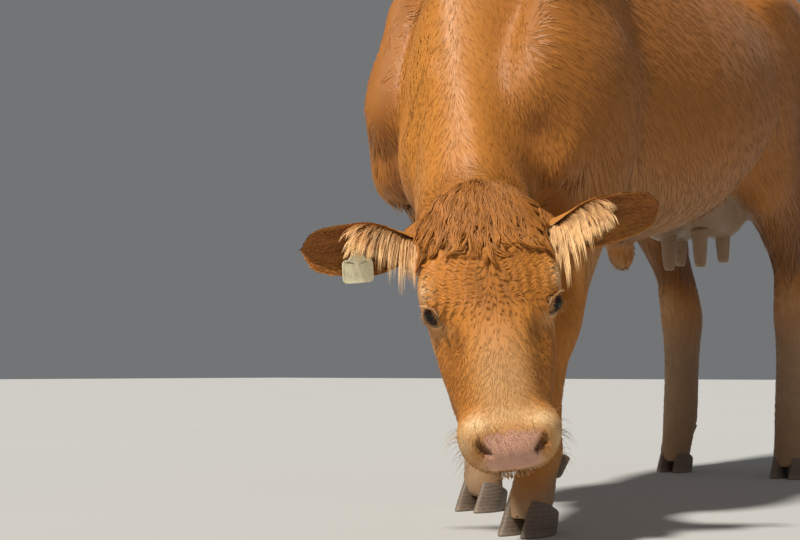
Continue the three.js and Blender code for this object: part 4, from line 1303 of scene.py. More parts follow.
def tuft_piece(
    name, roots, lines, wide, thick, taper, material, tip_tint=None, tint_share=0.0, slot="coat",
    tint=None, level=0.85, late=1.5, calm=0.0, facing=None,
):
    """The mesh of a coat piece, with its colours, shades and patches on the skin's map. Its shading
    normals are level parts the skin's own, or the direction facing, which makes flat hair sleek. calm, 0
    to 1 for each tuft, makes it sleeker and takes away the dark of its root."""
    points = tuft_shape(lines, roots.n, wide, thick, taper)
    count, per = points.shape[:2]
    rings = lines.shape[1] - 1
    strand = np.append(np.repeat(np.arange(rings) / rings, 3), 1.0)
    tint = markings(roots.p, roots.n) if tint is None else tint
    tint = tint * (0.92 + 0.16 * roots.chance[:, :1])
    calm = np.repeat(np.broadcast_to(calm, count), per)
    tint = np.repeat(tint[:, None], per, axis=1)
    if tip_tint is not None:
        tint = tint + (np.array(tip_tint) - tint) * (tint_share * strand**late)[None, :, None]
    faces = tuft_faces(count, rings)
    made = piece(
        name, points.reshape(-1, 3), faces, material, tint.reshape(-1, 3), slot=slot,
        strand=np.tile(strand, count) * (1 - calm) + 0.8 * calm, shade=np.repeat(roots.chance[:, 1], per),
    )
    patch = np.stack([np.append(np.tile([-0.5, 0.5, 0.0], rings), 0.0), strand - 0.5], axis=1) * PATCH
    uv = np.clip(roots.uv[:, None] + patch[None], 0, 1).reshape(-1, 2)
    corners = np.concatenate([f.ravel() for f in faces])
    made.data.uv_layers.new(name="OFBake").data.foreach_set("uv", uv[corners].astype(np.float32).ravel())
    level = level + (0.85 - level) * calm
    level = (level + (0.95 - level) * np.tile(strand == 0, count))[:, None]  # no dark ends at the roots
    even = np.repeat(roots.n if facing is None else np.tile(facing, (count, 1)), per, axis=0)
    normal = unit(normals_of(made.data) * (1 - level) + even * level)
    made.data.normals_split_custom_set_from_vertices(normal.astype(np.float32))
    return made


FLESH = ["trunk", "neck", "head", "tail", "udder", "ear_left", "ear_right"]
FLESH += ["leg_" + name for name in LEGS] + ["teat_" + name for name in TEATS]


def make_skin():
    """The skin: the net where the field is 0, joined with ears, lids and teats, whose roots lie in it."""
    centre = from_head((0, 30, -190))
    low, high = np.array([-380, -1130, 0.0]), np.array([400, 990, 1400.0])
    value, start = lattice_values(skin_field, centre, low, high, CELL)
    points, quads = surface_net(value)
    points, normals = even_out(to_cow(start + points * CELL, centre), quads, skin_field)
    parts = [outward(points, [quads])]
    parts += [ear_shell(ear) for ear in EARS.values()] + [lid_ring(side) for side in (1, -1)]
    parts += [teat_shell(at) for at in TEATS.values()]
    counts = np.cumsum([len(p) for p, _ in parts])
    all_points, faces = joined(parts)
    quads = np.concatenate([f for f in faces if f.shape[1] == 4])
    tris = np.concatenate([f for f in faces if f.shape[1] == 3])
    made = piece("skin", all_points, [quads, tris], finish_of(skin_finish), replaces=FLESH, slot="coat")
    mesh = made.data
    n = normals_of(mesh).astype(float)
    n[: counts[0]] = normals
    unwrap(made)
    uv = np.zeros(len(mesh.loops) * 2, np.float32)
    mesh.uv_layers["OFBake"].data.foreach_get("uv", uv)
    SKIN.update(points=all_points, normals=n, quads=quads, counts=counts)
    SKIN["uv"] = uv.reshape(-1, 2)[: quads.size].reshape(-1, 4, 2).astype(float)
    # painted shade: the skin under the topknot is darkened by half, for dark gaps between its locks
    tint = markings(all_points, n) * (1 - 0.5 * topknot_area(all_points))[:, None]
    shells = [slice(a, b) for a, b in zip(counts, counts[1:])]
    for part in shells[:2]:
        tint[part] = ear_colours()
    for part in shells[2:4]:
        tint[part] = lid_colours(all_points[part], tint[part])
    bare = np.maximum(bag_share(all_points), head_share(all_points) * muzzle_share(to_head(all_points)))
    store(mesh, bare=bare, across=np.cross(n, lie(all_points, n)), tint=tint)


def ear_colours():
    """An ear's skin: golden and darker to its tip, and dark brown inside the cup."""
    c = bpy.context.scene.cow_colours
    u, t = ear_grid()
    inside = np.append(np.cos(t + 0 * u) < -0.1, [False, False]).astype(float)
    u = np.append(u + 0 * t, [0, 1])
    tint = mixed(np.tile(np.array(c.golden, float), (len(u), 1)), c.deep, 0.3 * smooth(u, 0.4, 1))
    return mixed(tint, np.array(c.deep) * 0.6, inside * (0.9 - 0.35 * smooth(u, 0.2, 0.8)))


def lid_colours(points, tint):
    """The lids' edges are dark, with a pale band below the eye."""
    c = bpy.context.scene.cow_colours
    q = mirrored(to_head(points))
    d = np.linalg.norm(q - EYE, axis=1)
    dark = 1 - smooth(d, EYE_RADIUS + 2.0, EYE_RADIUS + 4.5)
    lower = smooth(-q[:, 2], 203, 215) * (1 - smooth(d, EYE_RADIUS + 3, EYE_RADIUS + 8))
    tint = mixed(tint, c.cream, 0.5 * lower)
    return mixed(tint, (0.05, 0.022, 0.015), 0.9 * dark)


def unwrap(made):
    """Blender's own unwrap of the skin into flat patches, as the map OFBake."""
    bpy.ops.object.select_all(action="DESELECT")
    bpy.context.view_layer.objects.active = made
    made.select_set(True)
    made.data.uv_layers.new(name="OFBake")
    bpy.ops.object.mode_set(mode="EDIT")
    bpy.ops.mesh.select_all(action="SELECT")
    bpy.ops.uv.smart_project(angle_limit=math.radians(66), island_margin=0.001)
    bpy.ops.object.mode_set(mode="OBJECT")


IRIS, PUPIL = 52.0, (27.0, 11.0)  # half angles seen from the eye's middle, in degrees


def make_eyes():
    """Each eye: a ball on a grid of rings round its gaze, with the cornea raised 1.2 mm over the iris."""
    rows, around = 40, 48
    for name, side in (("left", 1), ("right", -1)):
        axes = eye_axes(side)
        a = np.linspace(0.01, math.pi - 0.01, rows)[:, None]
        t = turns(around)[None]
        bulge = 1.2 * (1 - smooth(np.degrees(a), 30, 48)) + 0 * t
        points = axes[0] + eye_rays(axes, t, a)[1] * (EYE_RADIUS + bulge)[..., None]
        points, faces = outward(*capped(from_head(points.reshape(-1, 3)), rows, around))
        iris = np.append((np.degrees(a) / IRIS + 0 * t).ravel(), [0, 3])
        x, y = np.degrees(a) * np.cos(t) / PUPIL[0], np.degrees(a) * np.sin(t) / PUPIL[1]
        pupil = np.append(np.hypot(x, y).ravel(), [0, 9])
        spokes = np.stack([np.cos(t) + 0 * a, np.sin(t) + 0 * a, 0.02 * np.degrees(a) + 0 * t], -1)
        spokes = np.concatenate([spokes.reshape(-1, 3), np.zeros((2, 3))])
        colour = np.array(bpy.context.scene.cow_colours.iris)
        pupil = 1 - smooth(pupil, 0.85, 1.15) + 0.5
        piece(
            "eyeball_" + name, points, faces, finish_of(eye_finish), colour, ["eye_" + name], "eye",
            iris=iris, pupil=pupil, spoke=spokes,
        )


CLAW_LENGTH, CLAW_WIDTH, CLAW_HEIGHT, CLAW_GAP = 112, 52, 70, 4
DEWCLAW_TURN, DEWCLAW_PLACE = 152, (20, 46, 118)  # degrees about x, and where it is from the leg's middle


def claw_shape(side, foot, rows=22, around=40):
    """A claw: rings from a flat sole to the coronet. Each is an oval of the packed size that narrows to
    the toe and is flatter inside, leaning back 26 mm; the wall bows out 2 mm and has faint growth rings."""
    h = np.linspace(0, 1, rows)[:, None]
    t = turns(around)[None]
    across, toe = -np.sin(t), -np.cos(t)
    length = CLAW_LENGTH * (1 - 0.28 * h) - 4 * (h < 0.02)
    width = CLAW_WIDTH * (1 - 0.12 * h) - 3 * (h < 0.02) + 1.5 * np.sin(math.pi * h)
    narrow = np.where(toe > 0, 1 - 0.3 * toe * toe, 1)
    flat = np.where(across * side < 0, 0.72, 1)
    rise = CLAW_HEIGHT - 34 * (0.5 - 0.5 * toe)
    top = np.where(h > 0.93, 1 - 0.25 * ((h - 0.93) / 0.07) ** 2, 1)
    ring = 1 + 0.006 * np.sin(h * 44)
    x = across * width / 2 * narrow * flat * top * ring
    y = -toe * length / 2 * top * ring + h * 26
    points = np.stack([x, y, h * rise], axis=-1).reshape(-1, 3)
    points += (foot[0] + side * (CLAW_WIDTH * 0.8 + CLAW_GAP) / 2, foot[1] - 18, 0)
    points, faces = outward(*capped(points, rows, around))
    return points, faces, np.append(np.repeat(h, around), [0, 1])


def dewclaw_shape(side, at, rows=14, around=18):
    """A dewclaw: a blunt cone 15 mm at its root, turned about a line back and down."""
    s = np.linspace(0, 1, rows)[:, None]
    t = turns(around)[None]
    r = (15 - 9 * s) * round_end(s, 0.75, 0.26, 0.02) + 0.25 * np.sin(s * 30)
    q = np.stack([r * np.cos(t), r * np.sin(t), -22 + 44 * s + 0 * t], axis=-1).reshape(-1, 3)
    beside, behind, high = DEWCLAW_PLACE
    points = q @ rotation("x", DEWCLAW_TURN).T + (at[0] + side * beside, at[1] + behind, high)
    points, faces = outward(*capped(points, rows, around))
    return points, faces, np.append(np.repeat(1 - s, around), [1, 0])


def make_claws():
    """The two claws and two dewclaws of each foot."""
    for name, loft in LEGS.items():
        x, y = loft.at(np.array([58.0, 124.0]))[:2]  # the leg's middle at its claws and its dewclaws
        out = np.sign(x[0])
        shapes = [claw_shape(s, (x[0], y[0])) for s in (out, -out)]
        shapes += [dewclaw_shape(s, (x[1], y[1])) for s in (out, -out)]
        points, faces = joined([(p, f) for p, f, _ in shapes])
        tall = np.concatenate([v for _, _, v in shapes])
        nodes = [kind + name + place for kind in ("claw_", "dewclaw_") for place in ("_outer", "_inner")]
        colour = np.array(bpy.context.scene.cow_colours.horn)
        piece("claws_" + name, points, faces, finish_of(horn_finish), colour, nodes, "hoof_horn", strand=tall)


def tag_frame():
    """The tag's place: where its stud leaves the inside of the right ear, the way down its plate and the
    way along its pin."""
    ear, wall = EARS["right"], 10.0
    out = ear.point(0.585, -0.62, wall / 2 + 2)
    inner = ear.point(0.585, -0.62, -wall / 2 - 11)
    down = unit(ear.point(0.585, 1, -wall / 2 - 16) - inner)
    pin = out - inner
    pin = unit(pin - down * (pin @ down))
    return inner, np.stack([np.cross(down, pin), down, pin], axis=1), float(np.linalg.norm(out - inner))


def make_tag():
    """The ear tag: a neck that widens to a round-cornered plate, a raised rim, and its stud."""
    origin, turn, length = tag_frame()
    t = turns(96)
    # The outline: the plate is a superellipse, and above it the neck swings in to 10 mm.
    across, along = (np.sign(f(t)) * np.abs(f(t)) ** 0.32 for f in (np.sin, np.cos))
    plate = np.stack([27.5 * across, 61.0 - 20.5 * along], axis=-1)
    neck_y = np.linspace(41, -8, 14)
    neck_x = 9.0 + 8.0 * smooth(neck_y, 26, 41) ** 2
    neck_x[-3:] = (8.6, 7.0, 3.5)
    upper = plate[:, 1] < 41.6
    right = plate[(t > 0) & (t < math.pi) & ~upper]
    right = right[np.argsort(right[:, 1])]
    outline = np.concatenate([np.stack([neck_x[::-1], neck_y[::-1]], 1), [[24.0, 41.3]], right])
    outline = np.concatenate([outline, (outline * (-1, 1))[::-1]])
    middle = np.array([0, 50.0])
    # Height and inset of each ring: the sunk face, the raised rim, the edge, and the same again.
    rings = [(0.4, 3.2), (0.0, 2.6), (0.0, 0.25), (0.5, 0.0), (1.9, 0.0), (2.4, 0.25), (2.4, 2.6), (2.0, 3.2)]
    flat = np.ones((len(outline), 1))
    rows = np.stack([np.hstack([shrink(outline, inset), flat * z]) for z, inset in rings])
    points, faces = capped(rows.reshape(-1, 3), len(rows), len(outline))
    points[-2:, :2] = middle
    points, faces = outward(points @ turn.T + origin, faces)
    plastic = np.array(bpy.context.scene.cow_colours.tag)
    finish = finish_of(tag_finish)
    piece("tag_plate", points, faces, finish, plastic, ["ear_tag_plate"], "tag_plastic", smooth_=False)
    profile = [(-3.2, 2), (-3.2, 6.6), (-2.6, 7.0), (-0.7, 7.0), (-0.5, 3)]
    button = [(-0.6, 3), (-0.5, 12.2), (0.2, 13), (1.6, 12.8), (2.5, 11.4), (2.5, 4), (1.9, 2)]
    profile += [(length + z, r) for z, r in button]
    s = turns(32)
    points = np.concatenate([np.stack([r * np.cos(s), r * np.sin(s), 0 * s + z], 1) for z, r in profile])
    points, faces = capped(points, len(profile), len(s))
    points, faces = outward(points @ turn.T + origin, faces)
    piece("tag_stud", points, faces, finish, plastic * 0.55, ["ear_tag_stud"], "tag_plastic", smooth_=False)


def shrink(outline, inset):
    """An outline moved inwards by some millimetres, along the mean normal of its neighbours."""
    along = np.roll(outline, -1, 0) - np.roll(outline, 1, 0)
    inward = unit(np.stack([-along[:, 1], along[:, 0]], axis=1))
    return outline + inward * inset * np.sign(area_of(outline))


def area_of(outline):
    """The outline's area, above 0 if it runs anticlockwise."""
    x, y = outline.T
    return float(np.sum(x * np.roll(y, -1) - y * np.roll(x, -1))) / 2


CAMERA_PLACE, CAMERA_HEADING, CAMERA_LENS = (1.24, -2.51, 0.3), 37.8, 49.5  # metres, degrees, millimetres
PICTURE_WIDTH, HORIZON_DROP = 800, 102  # pixels: how far the horizon lies below the picture's middle
HORIZON = 40000.0  # millimetres from the cow to the floor's edges


def make_stage():
    """A floor that runs to the horizon, a pale sky of even light, a wide soft sun high to the cow's front
    left as the camera sees it, a weak fill, and the camera."""
    corners = np.array([[-1, -1, 0], [1, -1, 0], [1, 1, 0], [-1, 1, 0]]) * HORIZON + OFFSET
    piece("floor", corners, [np.array([[0, 1, 2, 3]])], floor_finish(), (0.5, 0.5, 0.49), stage=True)
    world = bpy.data.worlds.new("studio")
    bpy.context.scene.world = world
    world.use_nodes = True
    world.node_tree.nodes["Background"].inputs[0].default_value = (0.94, 0.97, 1.0, 1)
    world.node_tree.nodes["Background"].inputs[1].default_value = 0.18
    s = bpy.context.scene.cow_sizes
    azimuth = math.radians(CAMERA_HEADING)
    view, up = Vector((-math.sin(azimuth), math.cos(azimuth), 0)), Vector((0, 0, 1))
    right = Vector((math.cos(azimuth), math.sin(azimuth), 0))
    for name, towards, power, span, colour in (
        ("key_sun", right * 0.43 + view * 0.42 - up * 0.8, s.key_power, 5.0, (1.0, 0.96, 0.88)),
        ("fill_sun", view * 0.9 + right * 0.3 - up * 0.2, s.key_power * 0.03, 60.0, (1.0, 0.97, 0.92)),
    ):
        lamp = bpy.data.lights.new(name, "SUN")
        lamp.energy, lamp.angle, lamp.color = power, math.radians(span), colour
        made = bpy.data.objects.new(name, lamp)
        made.location = -towards * 5
        made.rotation_euler = towards.to_track_quat("-Z", "Y").to_euler()
        bpy.context.scene.collection.objects.link(made)
    camera = bpy.data.cameras.new("camera")
    camera.lens, camera.sensor_width, camera.clip_end = CAMERA_LENS, 36.0, 200.0
    pitch = s.camera_pitch
    focal = PICTURE_WIDTH * camera.lens / camera.sensor_width
    camera.shift_y = (HORIZON_DROP - focal * math.tan(pitch)) / PICTURE_WIDTH
    made = bpy.data.objects.new("camera", camera)
    made.location = CAMERA_PLACE - OFFSET / 1000
    made.rotation_euler = (math.pi / 2 + pitch, 0, azimuth)
    bpy.context.scene.collection.objects.link(made)
    bpy.context.scene.camera = made
    bpy.context.scene.view_settings.view_transform = "Standard"


# The coat.


def on_body(p):
    """Where the hair of trunk and legs grows: not on head, neck and bag, and not on the pasterns."""
    return (1 - head_share(p)) * (1 - bag_share(p)) * (p[:, 2] > 66)


def swerve(roots, most):
    """How far each tuft turns aside at every step, at random: half of most to either side."""
    return (roots.chance[:, 4] - 0.5) * most


def body_finish():
    """The hair of trunk, neck and legs."""
    return finish_of(hair_finish, "body_hair", root=0.9, tip=1.05)


def flat_tufts(name, roots, length, lift, most, wide, thick, finish, group=5, pull=0.35, **more):
    """Short flat hair, laid in two steps and drawn a little together. lift is its height above the skin
    at the root and what it gains to the tip, and thick its thickness as a share of its width."""
    lines = march(roots, length, lambda share: lift[0] + lift[1] * share, 2, bend=swerve(roots, most))
    lines = clump(lines, roots.random, group, pull, 1.2)
    tuft_piece(name, roots, lines, wide, wide * thick, (0.6, 0.9), finish, **more)


def topknot_area(p):
    """1 where the topknot grows: on the poll before the crown, with a wavy lower edge."""
    q = to_head(p)
    edge = 14 * np.sin(q[:, 0] / 9) + 8 * np.sin(q[:, 0] / 4.3 + 1)
    front = smooth(q[:, 2] + edge, -112, -80)
    behind = smooth(q[:, 1] - 0.004 * q[:, 0] ** 2, -12, 6)
    beside = smooth(np.abs(q[:, 0] - 4), 88, 104)
    return front * (1 - behind) * (1 - beside) * head_share(p)


def make_topknot():
    """Long locks that fall from the crown over the poll: they rise above the skin, droop and draw
    together into curled points."""
    s = bpy.context.scene.cow_sizes
    roots = Roots(11, 6000, lambda p, n: topknot_area(p) * (0.25 + smooth(to_head(p)[:, 2], -80, -20)))
    z = to_head(roots.p)[:, 2]
    length = 1000 * s.topknot * (0.25 + 0.5 * roots.chance[:, 2] + 0.3 * smooth(z, -80, 10))
    length *= 1 + 0.3 * np.sin(to_head(roots.p)[:, 0] / 7 + z / 15)
    rise = 5.0 + 9.0 * roots.chance[:, 3]

    def height(share):
        return rise * math.sin(math.pi * min(1.0, 0.15 + 0.7 * share)) ** 0.7

    lines = march(roots, length, height, 5, bend=swerve(roots, 0.6))
    lines = clump(lines, roots.random, 26, 0.86, 0.9)
    s = np.linspace(0, 1, 6)[None, :, None]
    p = to_head(lines.reshape(-1, 3)).reshape(lines.shape)
    phase = (p[..., 0] * 0.5 + p[..., 2]) * (2 * math.pi / 34.0) + p[..., 0] * 0.05
    across = unit(np.cross(lines[:, 1:2] - lines[:, 0:1], roots.n[:, None]))
    curl = 1.0 + 3.6 * s**1.2
    lines = lines + across * curl * np.sin(phase)[..., None]
    lines = lines + roots.n[:, None] * 2.2 * s * np.cos(phase * 1.7)[..., None]
    wide = 0.8 + 0.7 * roots.chance[:, 0]
    taper = (0.4, 1.0, 1.0, 0.8, 0.5)
    # the locks' roots at half brightness paint shade into the gaps between them, and their tips are lightened
    # partly as painted highlight
    finish = finish_of(hair_finish, "long_hair", root=0.5, tip=1.22)
    tuft_piece("topknot", roots, lines, wide, wide * 0.55, taper, finish, level=0.25)


def around_eye(p, near, far):
    """0 within near millimetres of the eyeball's surface, 1 beyond far."""
    d = np.linalg.norm(mirrored(to_head(p)) - EYE, axis=1) - EYE_RADIUS
    return smooth(d, near, far)


def make_forehead():
    """Crimped locks of the brow, in rows: waves run in step with the distance from the middle, and each
    lock's points draw together and lift off, so that dark notches show between the rows."""

    def area(p, n):
        q = to_head(p)
        tall = smooth(q[:, 2], -310, -190) ** 1.5 * (1 - smooth(q[:, 2], -96, -84))
        width = 1 - smooth(np.abs(q[:, 0]), 84, 100)
        return head_share(p) * tall * width * (1 - smooth(q[:, 1], -26, 0)) * around_eye(p, 3, 9)

    # dark roots paint shade into the notches between the rows, and the tips are lightened partly as painted
    # highlight
    finish = finish_of(hair_finish, "waved_hair", root=0.58, tip=1.22)
    for name, side in (("left", 1), ("right", -1)):
        roots = Roots(12 + side, 5200, lambda p, n: area(p, n) * (to_head(p)[:, 0] * side > 0))
        aside = smooth(np.abs(to_head(roots.p)[:, 0]), 6, 24)[:, None]
        low = smooth(-to_head(roots.p)[:, 2], 190, 240)
        length = (23 + 11 * roots.chance[:, 2]) * (1 - 0.2 * low)
        aside *= 1 - 0.6 * low[:, None]
        lines = march(roots, length, lambda share: 0.6 + 2.6 * share**0.8 * (1 - 0.8 * low), 5)
        lines = clump(lines, roots.random, 12, 0.75, 0.8)
        p = to_head(lines.reshape(-1, 3)).reshape(lines.shape)
        phase = (p[..., 2] * 0.22 + np.abs(p[..., 0]) + 3.5 * np.sin(p[..., 2] / 11)) * (2 * math.pi / 18.0)
        lines = lines + roots.n[:, None] * (np.sin(phase) * 2.3 * aside)[..., None]
        lines = lines + HEAD_TURN[:, 2] * (np.cos(phase) * 2.6 * aside)[..., None]
        wide = 0.75 + 0.55 * roots.chance[:, 0]
        taper = (0.3, 0.9, 1, 0.85, 0.5)
        name = "forehead_waves_" + name
        tuft_piece(name, roots, lines, wide, wide * 0.6, taper, finish, level=0.35, calm=0.9 * low)


def make_face():
    """Short hair of the face, cheeks and jaw, finest on the nose and round the eyes."""

    def area(p, n):
        q = to_head(p)
        nose = 1 - muzzle_share(q)
        fine = 1 + 1.2 * smooth(-q[:, 2], 180, 260) * (1 - smooth(q[:, 1], 20, 70))
        return head_share(p) * (1 - topknot_area(p)) * around_eye(p, 2.5, 8) * nose * fine

    roots = Roots(13, 16500, area)
    q, m = to_head(roots.p), mirrored(to_head(roots.p))
    fine = smooth(-q[:, 2], 330, 430)
    near_eye = spot(m, EYE, 42)
    length = (20 - 10 * fine - 8 * near_eye) * (0.75 + 0.5 * roots.chance[:, 2])
    length = length + 10 * smooth(q[:, 1], 60, 130)
    lift = (0.3, 0.4 + 0.5 * (1 - fine))
    wide = 0.75 - 0.2 * fine + 0.4 * roots.chance[:, 0]
    finish = finish_of(hair_finish, "face_hair", root=0.82, tip=1.13)
    flat_tufts("face_hair", roots, length, lift, 0.5, wide, 0.35, finish, level=0.75)


def make_neck_hair():
    """Hair of the neck: locks that arc from the crest outwards and then run towards the head."""
    s = bpy.context.scene.cow_sizes
    roots = Roots(14, 15500, lambda p, n: neck_share(p) * (0.3 + 0.7 * smooth(n[:, 2] - n[:, 1], -1, 0.6)))
    length = 1000 * s.neck_hair * (0.7 + 0.5 * roots.chance[:, 2])
    wide = 1.0 + 0.8 * roots.chance[:, 0]
    flat_tufts("neck_hair", roots, length, (0.4, 1.1), 0.4, wide, 0.3, body_finish(), group=6, pull=0.4)


def body_piece(name, seed, count, area):
    """Flat locks on the trunk, in the length that the sizes give, a little longer below."""
    s = bpy.context.scene.cow_sizes
    roots = Roots(seed, count, area)
    below = np.clip(-roots.n[:, 2], 0, 1)
    length = 1000 * s.body_hair * (0.7 + 0.6 * roots.chance[:, 2]) * (1 + 0.5 * below)
    wide = 1.3 + 1.1 * roots.chance[:, 0]
    flat_tufts(name, roots, length, (0.3, 0.7 + 2.5 * below), 0.35, wide, 0.25, body_finish())


def make_body_hair():
    """The trunk's hair in two pieces, before and behind the middle."""

    def trunk(p, n):
        return on_body(p) * (1 - neck_share(p)) * smooth(p[:, 2], 560, 640)

    body_piece("trunk_hair_front", 15, 11500, lambda p, n: trunk(p, n) * (p[:, 1] < -150))
    body_piece("trunk_hair_rear", 16, 11500, lambda p, n: trunk(p, n) * (p[:, 1] >= -150))


def make_leg_hair():
    """Short hair of the legs, lying down them."""

    def legs(p, n):
        bag = np.linalg.norm((p - (0, 420, 640)) / (150, 200, 90), axis=1) > 1
        return on_body(p) * (1 - smooth(p[:, 2], 600, 660)) * bag

    roots = Roots(17, 10000, legs)
    low = 1 - smooth(roots.p[:, 2], 150, 420)
    length = (22 - 6 * low) * (0.75 + 0.5 * roots.chance[:, 2])
    wide = 1.1 + 0.8 * roots.chance[:, 0]
    flat_tufts("leg_hair", roots, length, (0.3, 0.7), 0.35, wide, 0.3, body_finish(), slot="pale_coat")


class FreeRoots(Roots):
    """Roots at given places, for hair of the ears, the tail and the lids. Their patches on the map are at
    the nearest place of the skin."""

    def __init__(self, seed, p, n):
        self.random = np.random.default_rng(seed)
        self.p, self.n, self.count = p, unit(n), len(p)
        self.chance = self.random.random((len(p), 6))
        some = slice(None, None, 7)
        places, uv = SKIN["points"][SKIN["quads"][some, 0]], SKIN["uv"][some, 0]
        self.uv = uv[nearest_of(places, self.p, 200)]


def fall(p, d, length, steps, weight):
    """Centre lines that start along d and turn downwards by weight times the square of the way along."""
    s = np.linspace(0, 1, steps + 1)[None, :, None]
    down = np.array([0, 0, -1.0])
    length = np.broadcast_to(length, len(p))[:, None, None]
    weight = np.broadcast_to(weight, len(p))[:, None, None]
    way = d[:, None] * (s - 0.5 * weight * s * s) + down * (weight * s * s * 0.75)
    return p[:, None] + way * length


def ear_tufts(
    name, seed, ear, u, v, offset, way, length, wide, steps, group, finish, tip=None, share=0.0,
    droop=0.0, tint=None, ragged=0.2, **more,
):
    """Tufts on an ear: way gives how far each points along the ear, out of its wall and towards its
    lower edge, and droop turns it down along its length."""
    p = ear.point(u, v, offset)
    face = np.sign(np.asarray(offset, float))
    along = unit(ear.point(u + 0.01, v, offset) - p)
    n = unit(ear.point(u, v, offset + 2 * face) - p)
    low = unit(ear.point(u, v + 0.05 * lower_edge(ear), offset) - p)
    roots = FreeRoots(seed, p, n)
    d = unit(along * way[0][:, None] + n * way[1][:, None] + low * way[2][:, None])
    lines = fall(p - n * 0.8, d, length * (0.95 - ragged + 2 * ragged * roots.chance[:, 2]), steps, droop)
    lines = clump(lines, roots.random, group, 0.6, 1.2)
    wide = wide * (0.7 + 0.6 * roots.chance[:, 0])
    taper = (0.6, 0.9) if steps == 2 else (0.7, 1, 0.95, 0.75, 0.45)
    tuft_piece(name, roots, lines, wide, wide * 0.5, taper, finish, tip, share, tint=tint, **more)


def make_ear_hair():
    """On each ear: short hair along its back and round its rim, dark short hair inside the cup, and a long
    fringe that hangs from the root's half over the cup, brown at the roots and cream at the tips."""
    c = bpy.context.scene.cow_colours
    short = finish_of(hair_finish, "short_hair")
    long_ = finish_of(hair_finish, "fringe_hair", root=0.75, tip=1.3)
    for name, ear in EARS.items():
        seed = 50 + ear.side * 10
        r = np.random.default_rng(seed)

        def draw(count, low, high):
            return r.uniform(low, high, count)

        one = np.ones
        lower = lower_edge(ear)
        golden, deep = np.array(c.golden), np.array(c.deep)
        # The back.
        n, u = 3400, draw(3400, 0.02, 0.985)
        v, way = draw(n, -0.93, 0.93), (one(n), 0.05 * one(n), 0.15 * one(n))
        tint = golden + (deep - golden) * (0.3 + 0.5 * smooth(u, 0.55, 1))[:, None]
        ear_tufts(
            "ear_back_" + name, seed + 1, ear, u, v, one(n) * 2.2, way, 13.0, 0.9, 2, 5, short, tint=tint
        )
        # The inside: dark towards the tip, golden on the upper wall.
        n, u, v = 2400, draw(2400, 0.04, 0.97), draw(2400, -0.86, 0.9)
        upper = smooth(-v * lower, 0.1, 0.6) * (1 - smooth(u, 0.55, 0.9))
        tint = deep * (0.55 + 0.5 * smooth(u, 0.3, 0.9))[:, None]
        tint = tint + (golden * 0.9 - tint) * upper[:, None]
        way = (one(n), 0.25 * one(n), draw(n, -0.2, 0.4))
        ear_tufts(
            "ear_inside_" + name, seed + 2, ear, u, v, one(n) * -2.4, way, 13.0, 1.0, 2, 5, short,
            tint=tint, level=0.6,
        )
        # The rims.
        n, u = 2700, draw(2700, 0.0, 1.0)
        edge = np.where(r.random(n) < 0.5, 1.0, -1.0)
        v = edge * draw(n, 0.8, 0.99)
        way = (one(n), draw(n, 0.0, 0.3), edge * lower * draw(n, -0.1, 0.25))
        tint = golden * (1.05 - 0.35 * smooth(u, 0.5, 1))[:, None]
        ear_tufts(
            "ear_rim_" + name, seed + 3, ear, u, v, one(n) * -1.0, way, 11.0, 0.9, 2, 5, short,
            tint=tint, level=0.5,
        )
        # The fringe: from the middle of the cup near the root, and from the lower edge.
        n = 2900
        kind = r.random(n)
        u = np.where(kind < 0.85, draw(n, 0.0, 0.52) ** 1.1, draw(n, 0.05, 0.58))
        v = np.where(kind < 0.85, -lower * draw(n, -0.6, 0.42), lower * draw(n, 0.55, 0.93))
        length = np.where(kind < 0.85, 98.0 - 50 * np.abs(u - 0.18), 62.0 - 24 * u)
        way = (0.15 + 1.5 * u, 0.5 + 0 * u, 0.8 + 0 * u)
        ear_tufts(
            "ear_fringe_" + name, seed + 4, ear, u, v, one(n) * -2.0, way, length, 0.55, 5, 14, long_,
            np.array(c.cream) * 1.2, 1.0, droop=1.0 - 0.8 * u, tint=np.tile(golden, (n, 1)),
            ragged=0.4, level=0.5, late=0.9, facing=HEAD_TURN @ (0, -0.95, 0.3),
        )


def lower_edge(ear):
    """-1 or 1: which edge of the ear, in shares across, hangs lower."""
    return -1.0 if ear.point(0.5, 1.0, 0)[2] < ear.point(0.5, -1.0, 0)[2] else 1.0


def make_tail_hair():
    """The switch: long waved locks from the end of the tail's bone."""
    random = np.random.default_rng(31)
    count = 1100
    z = 640 - 300 * random.random(count) ** 1.3
    t = 2 * math.pi * random.random(count)
    x0, y0 = switch_loft.at(z)[:2]
    core = 12 * (1 - smooth(-z, -560, -380)) + 3
    p = np.stack([x0 + core * np.cos(t), y0 + core * np.sin(t), z], axis=1)
    n = np.stack([np.cos(t), np.sin(t), 0.15 + 0 * t], axis=1)
    roots = FreeRoots(32, p, n)
    s = np.linspace(0, 1, 8)[None, :, None]
    bottom = np.minimum(z - 60, 300 + 60 * roots.chance[:, 2])
    length = z - bottom
    zs = z[:, None] - length[:, None] * s[..., 0]
    centre = switch_loft.at(zs.reshape(-1))
    swell = np.minimum(centre[2], 42).reshape(zs.shape) * (0.35 + 0.6 * roots.chance[:, 3:4])
    swell = core[:, None] + (swell - core[:, None]) * np.sin(np.minimum(s[..., 0] * 1.6, 1) * math.pi / 2)
    wave = 5 * np.sin(zs / 22 + roots.chance[:, 5:6] * 2.5) * s[..., 0]
    x = centre[0].reshape(zs.shape) + swell * np.cos(t)[:, None] + wave
    y = centre[1].reshape(zs.shape) + swell * np.sin(t)[:, None] * 0.9
    lines = clump(np.stack([x, y, zs], axis=-1), roots.random, 12, 0.6, 1.6)
    wide = 1.6 + 1.2 * roots.chance[:, 0]
    taper = (0.6, 1, 1, 1, 0.9, 0.7, 0.4)
    finish = finish_of(hair_finish, "long_hair", root=0.5, tip=1.22)
    made = tuft_piece("tail_switch_hair", roots, lines, wide, wide * 0.6, taper, finish, level=0.2)
    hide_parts("tail_switch")


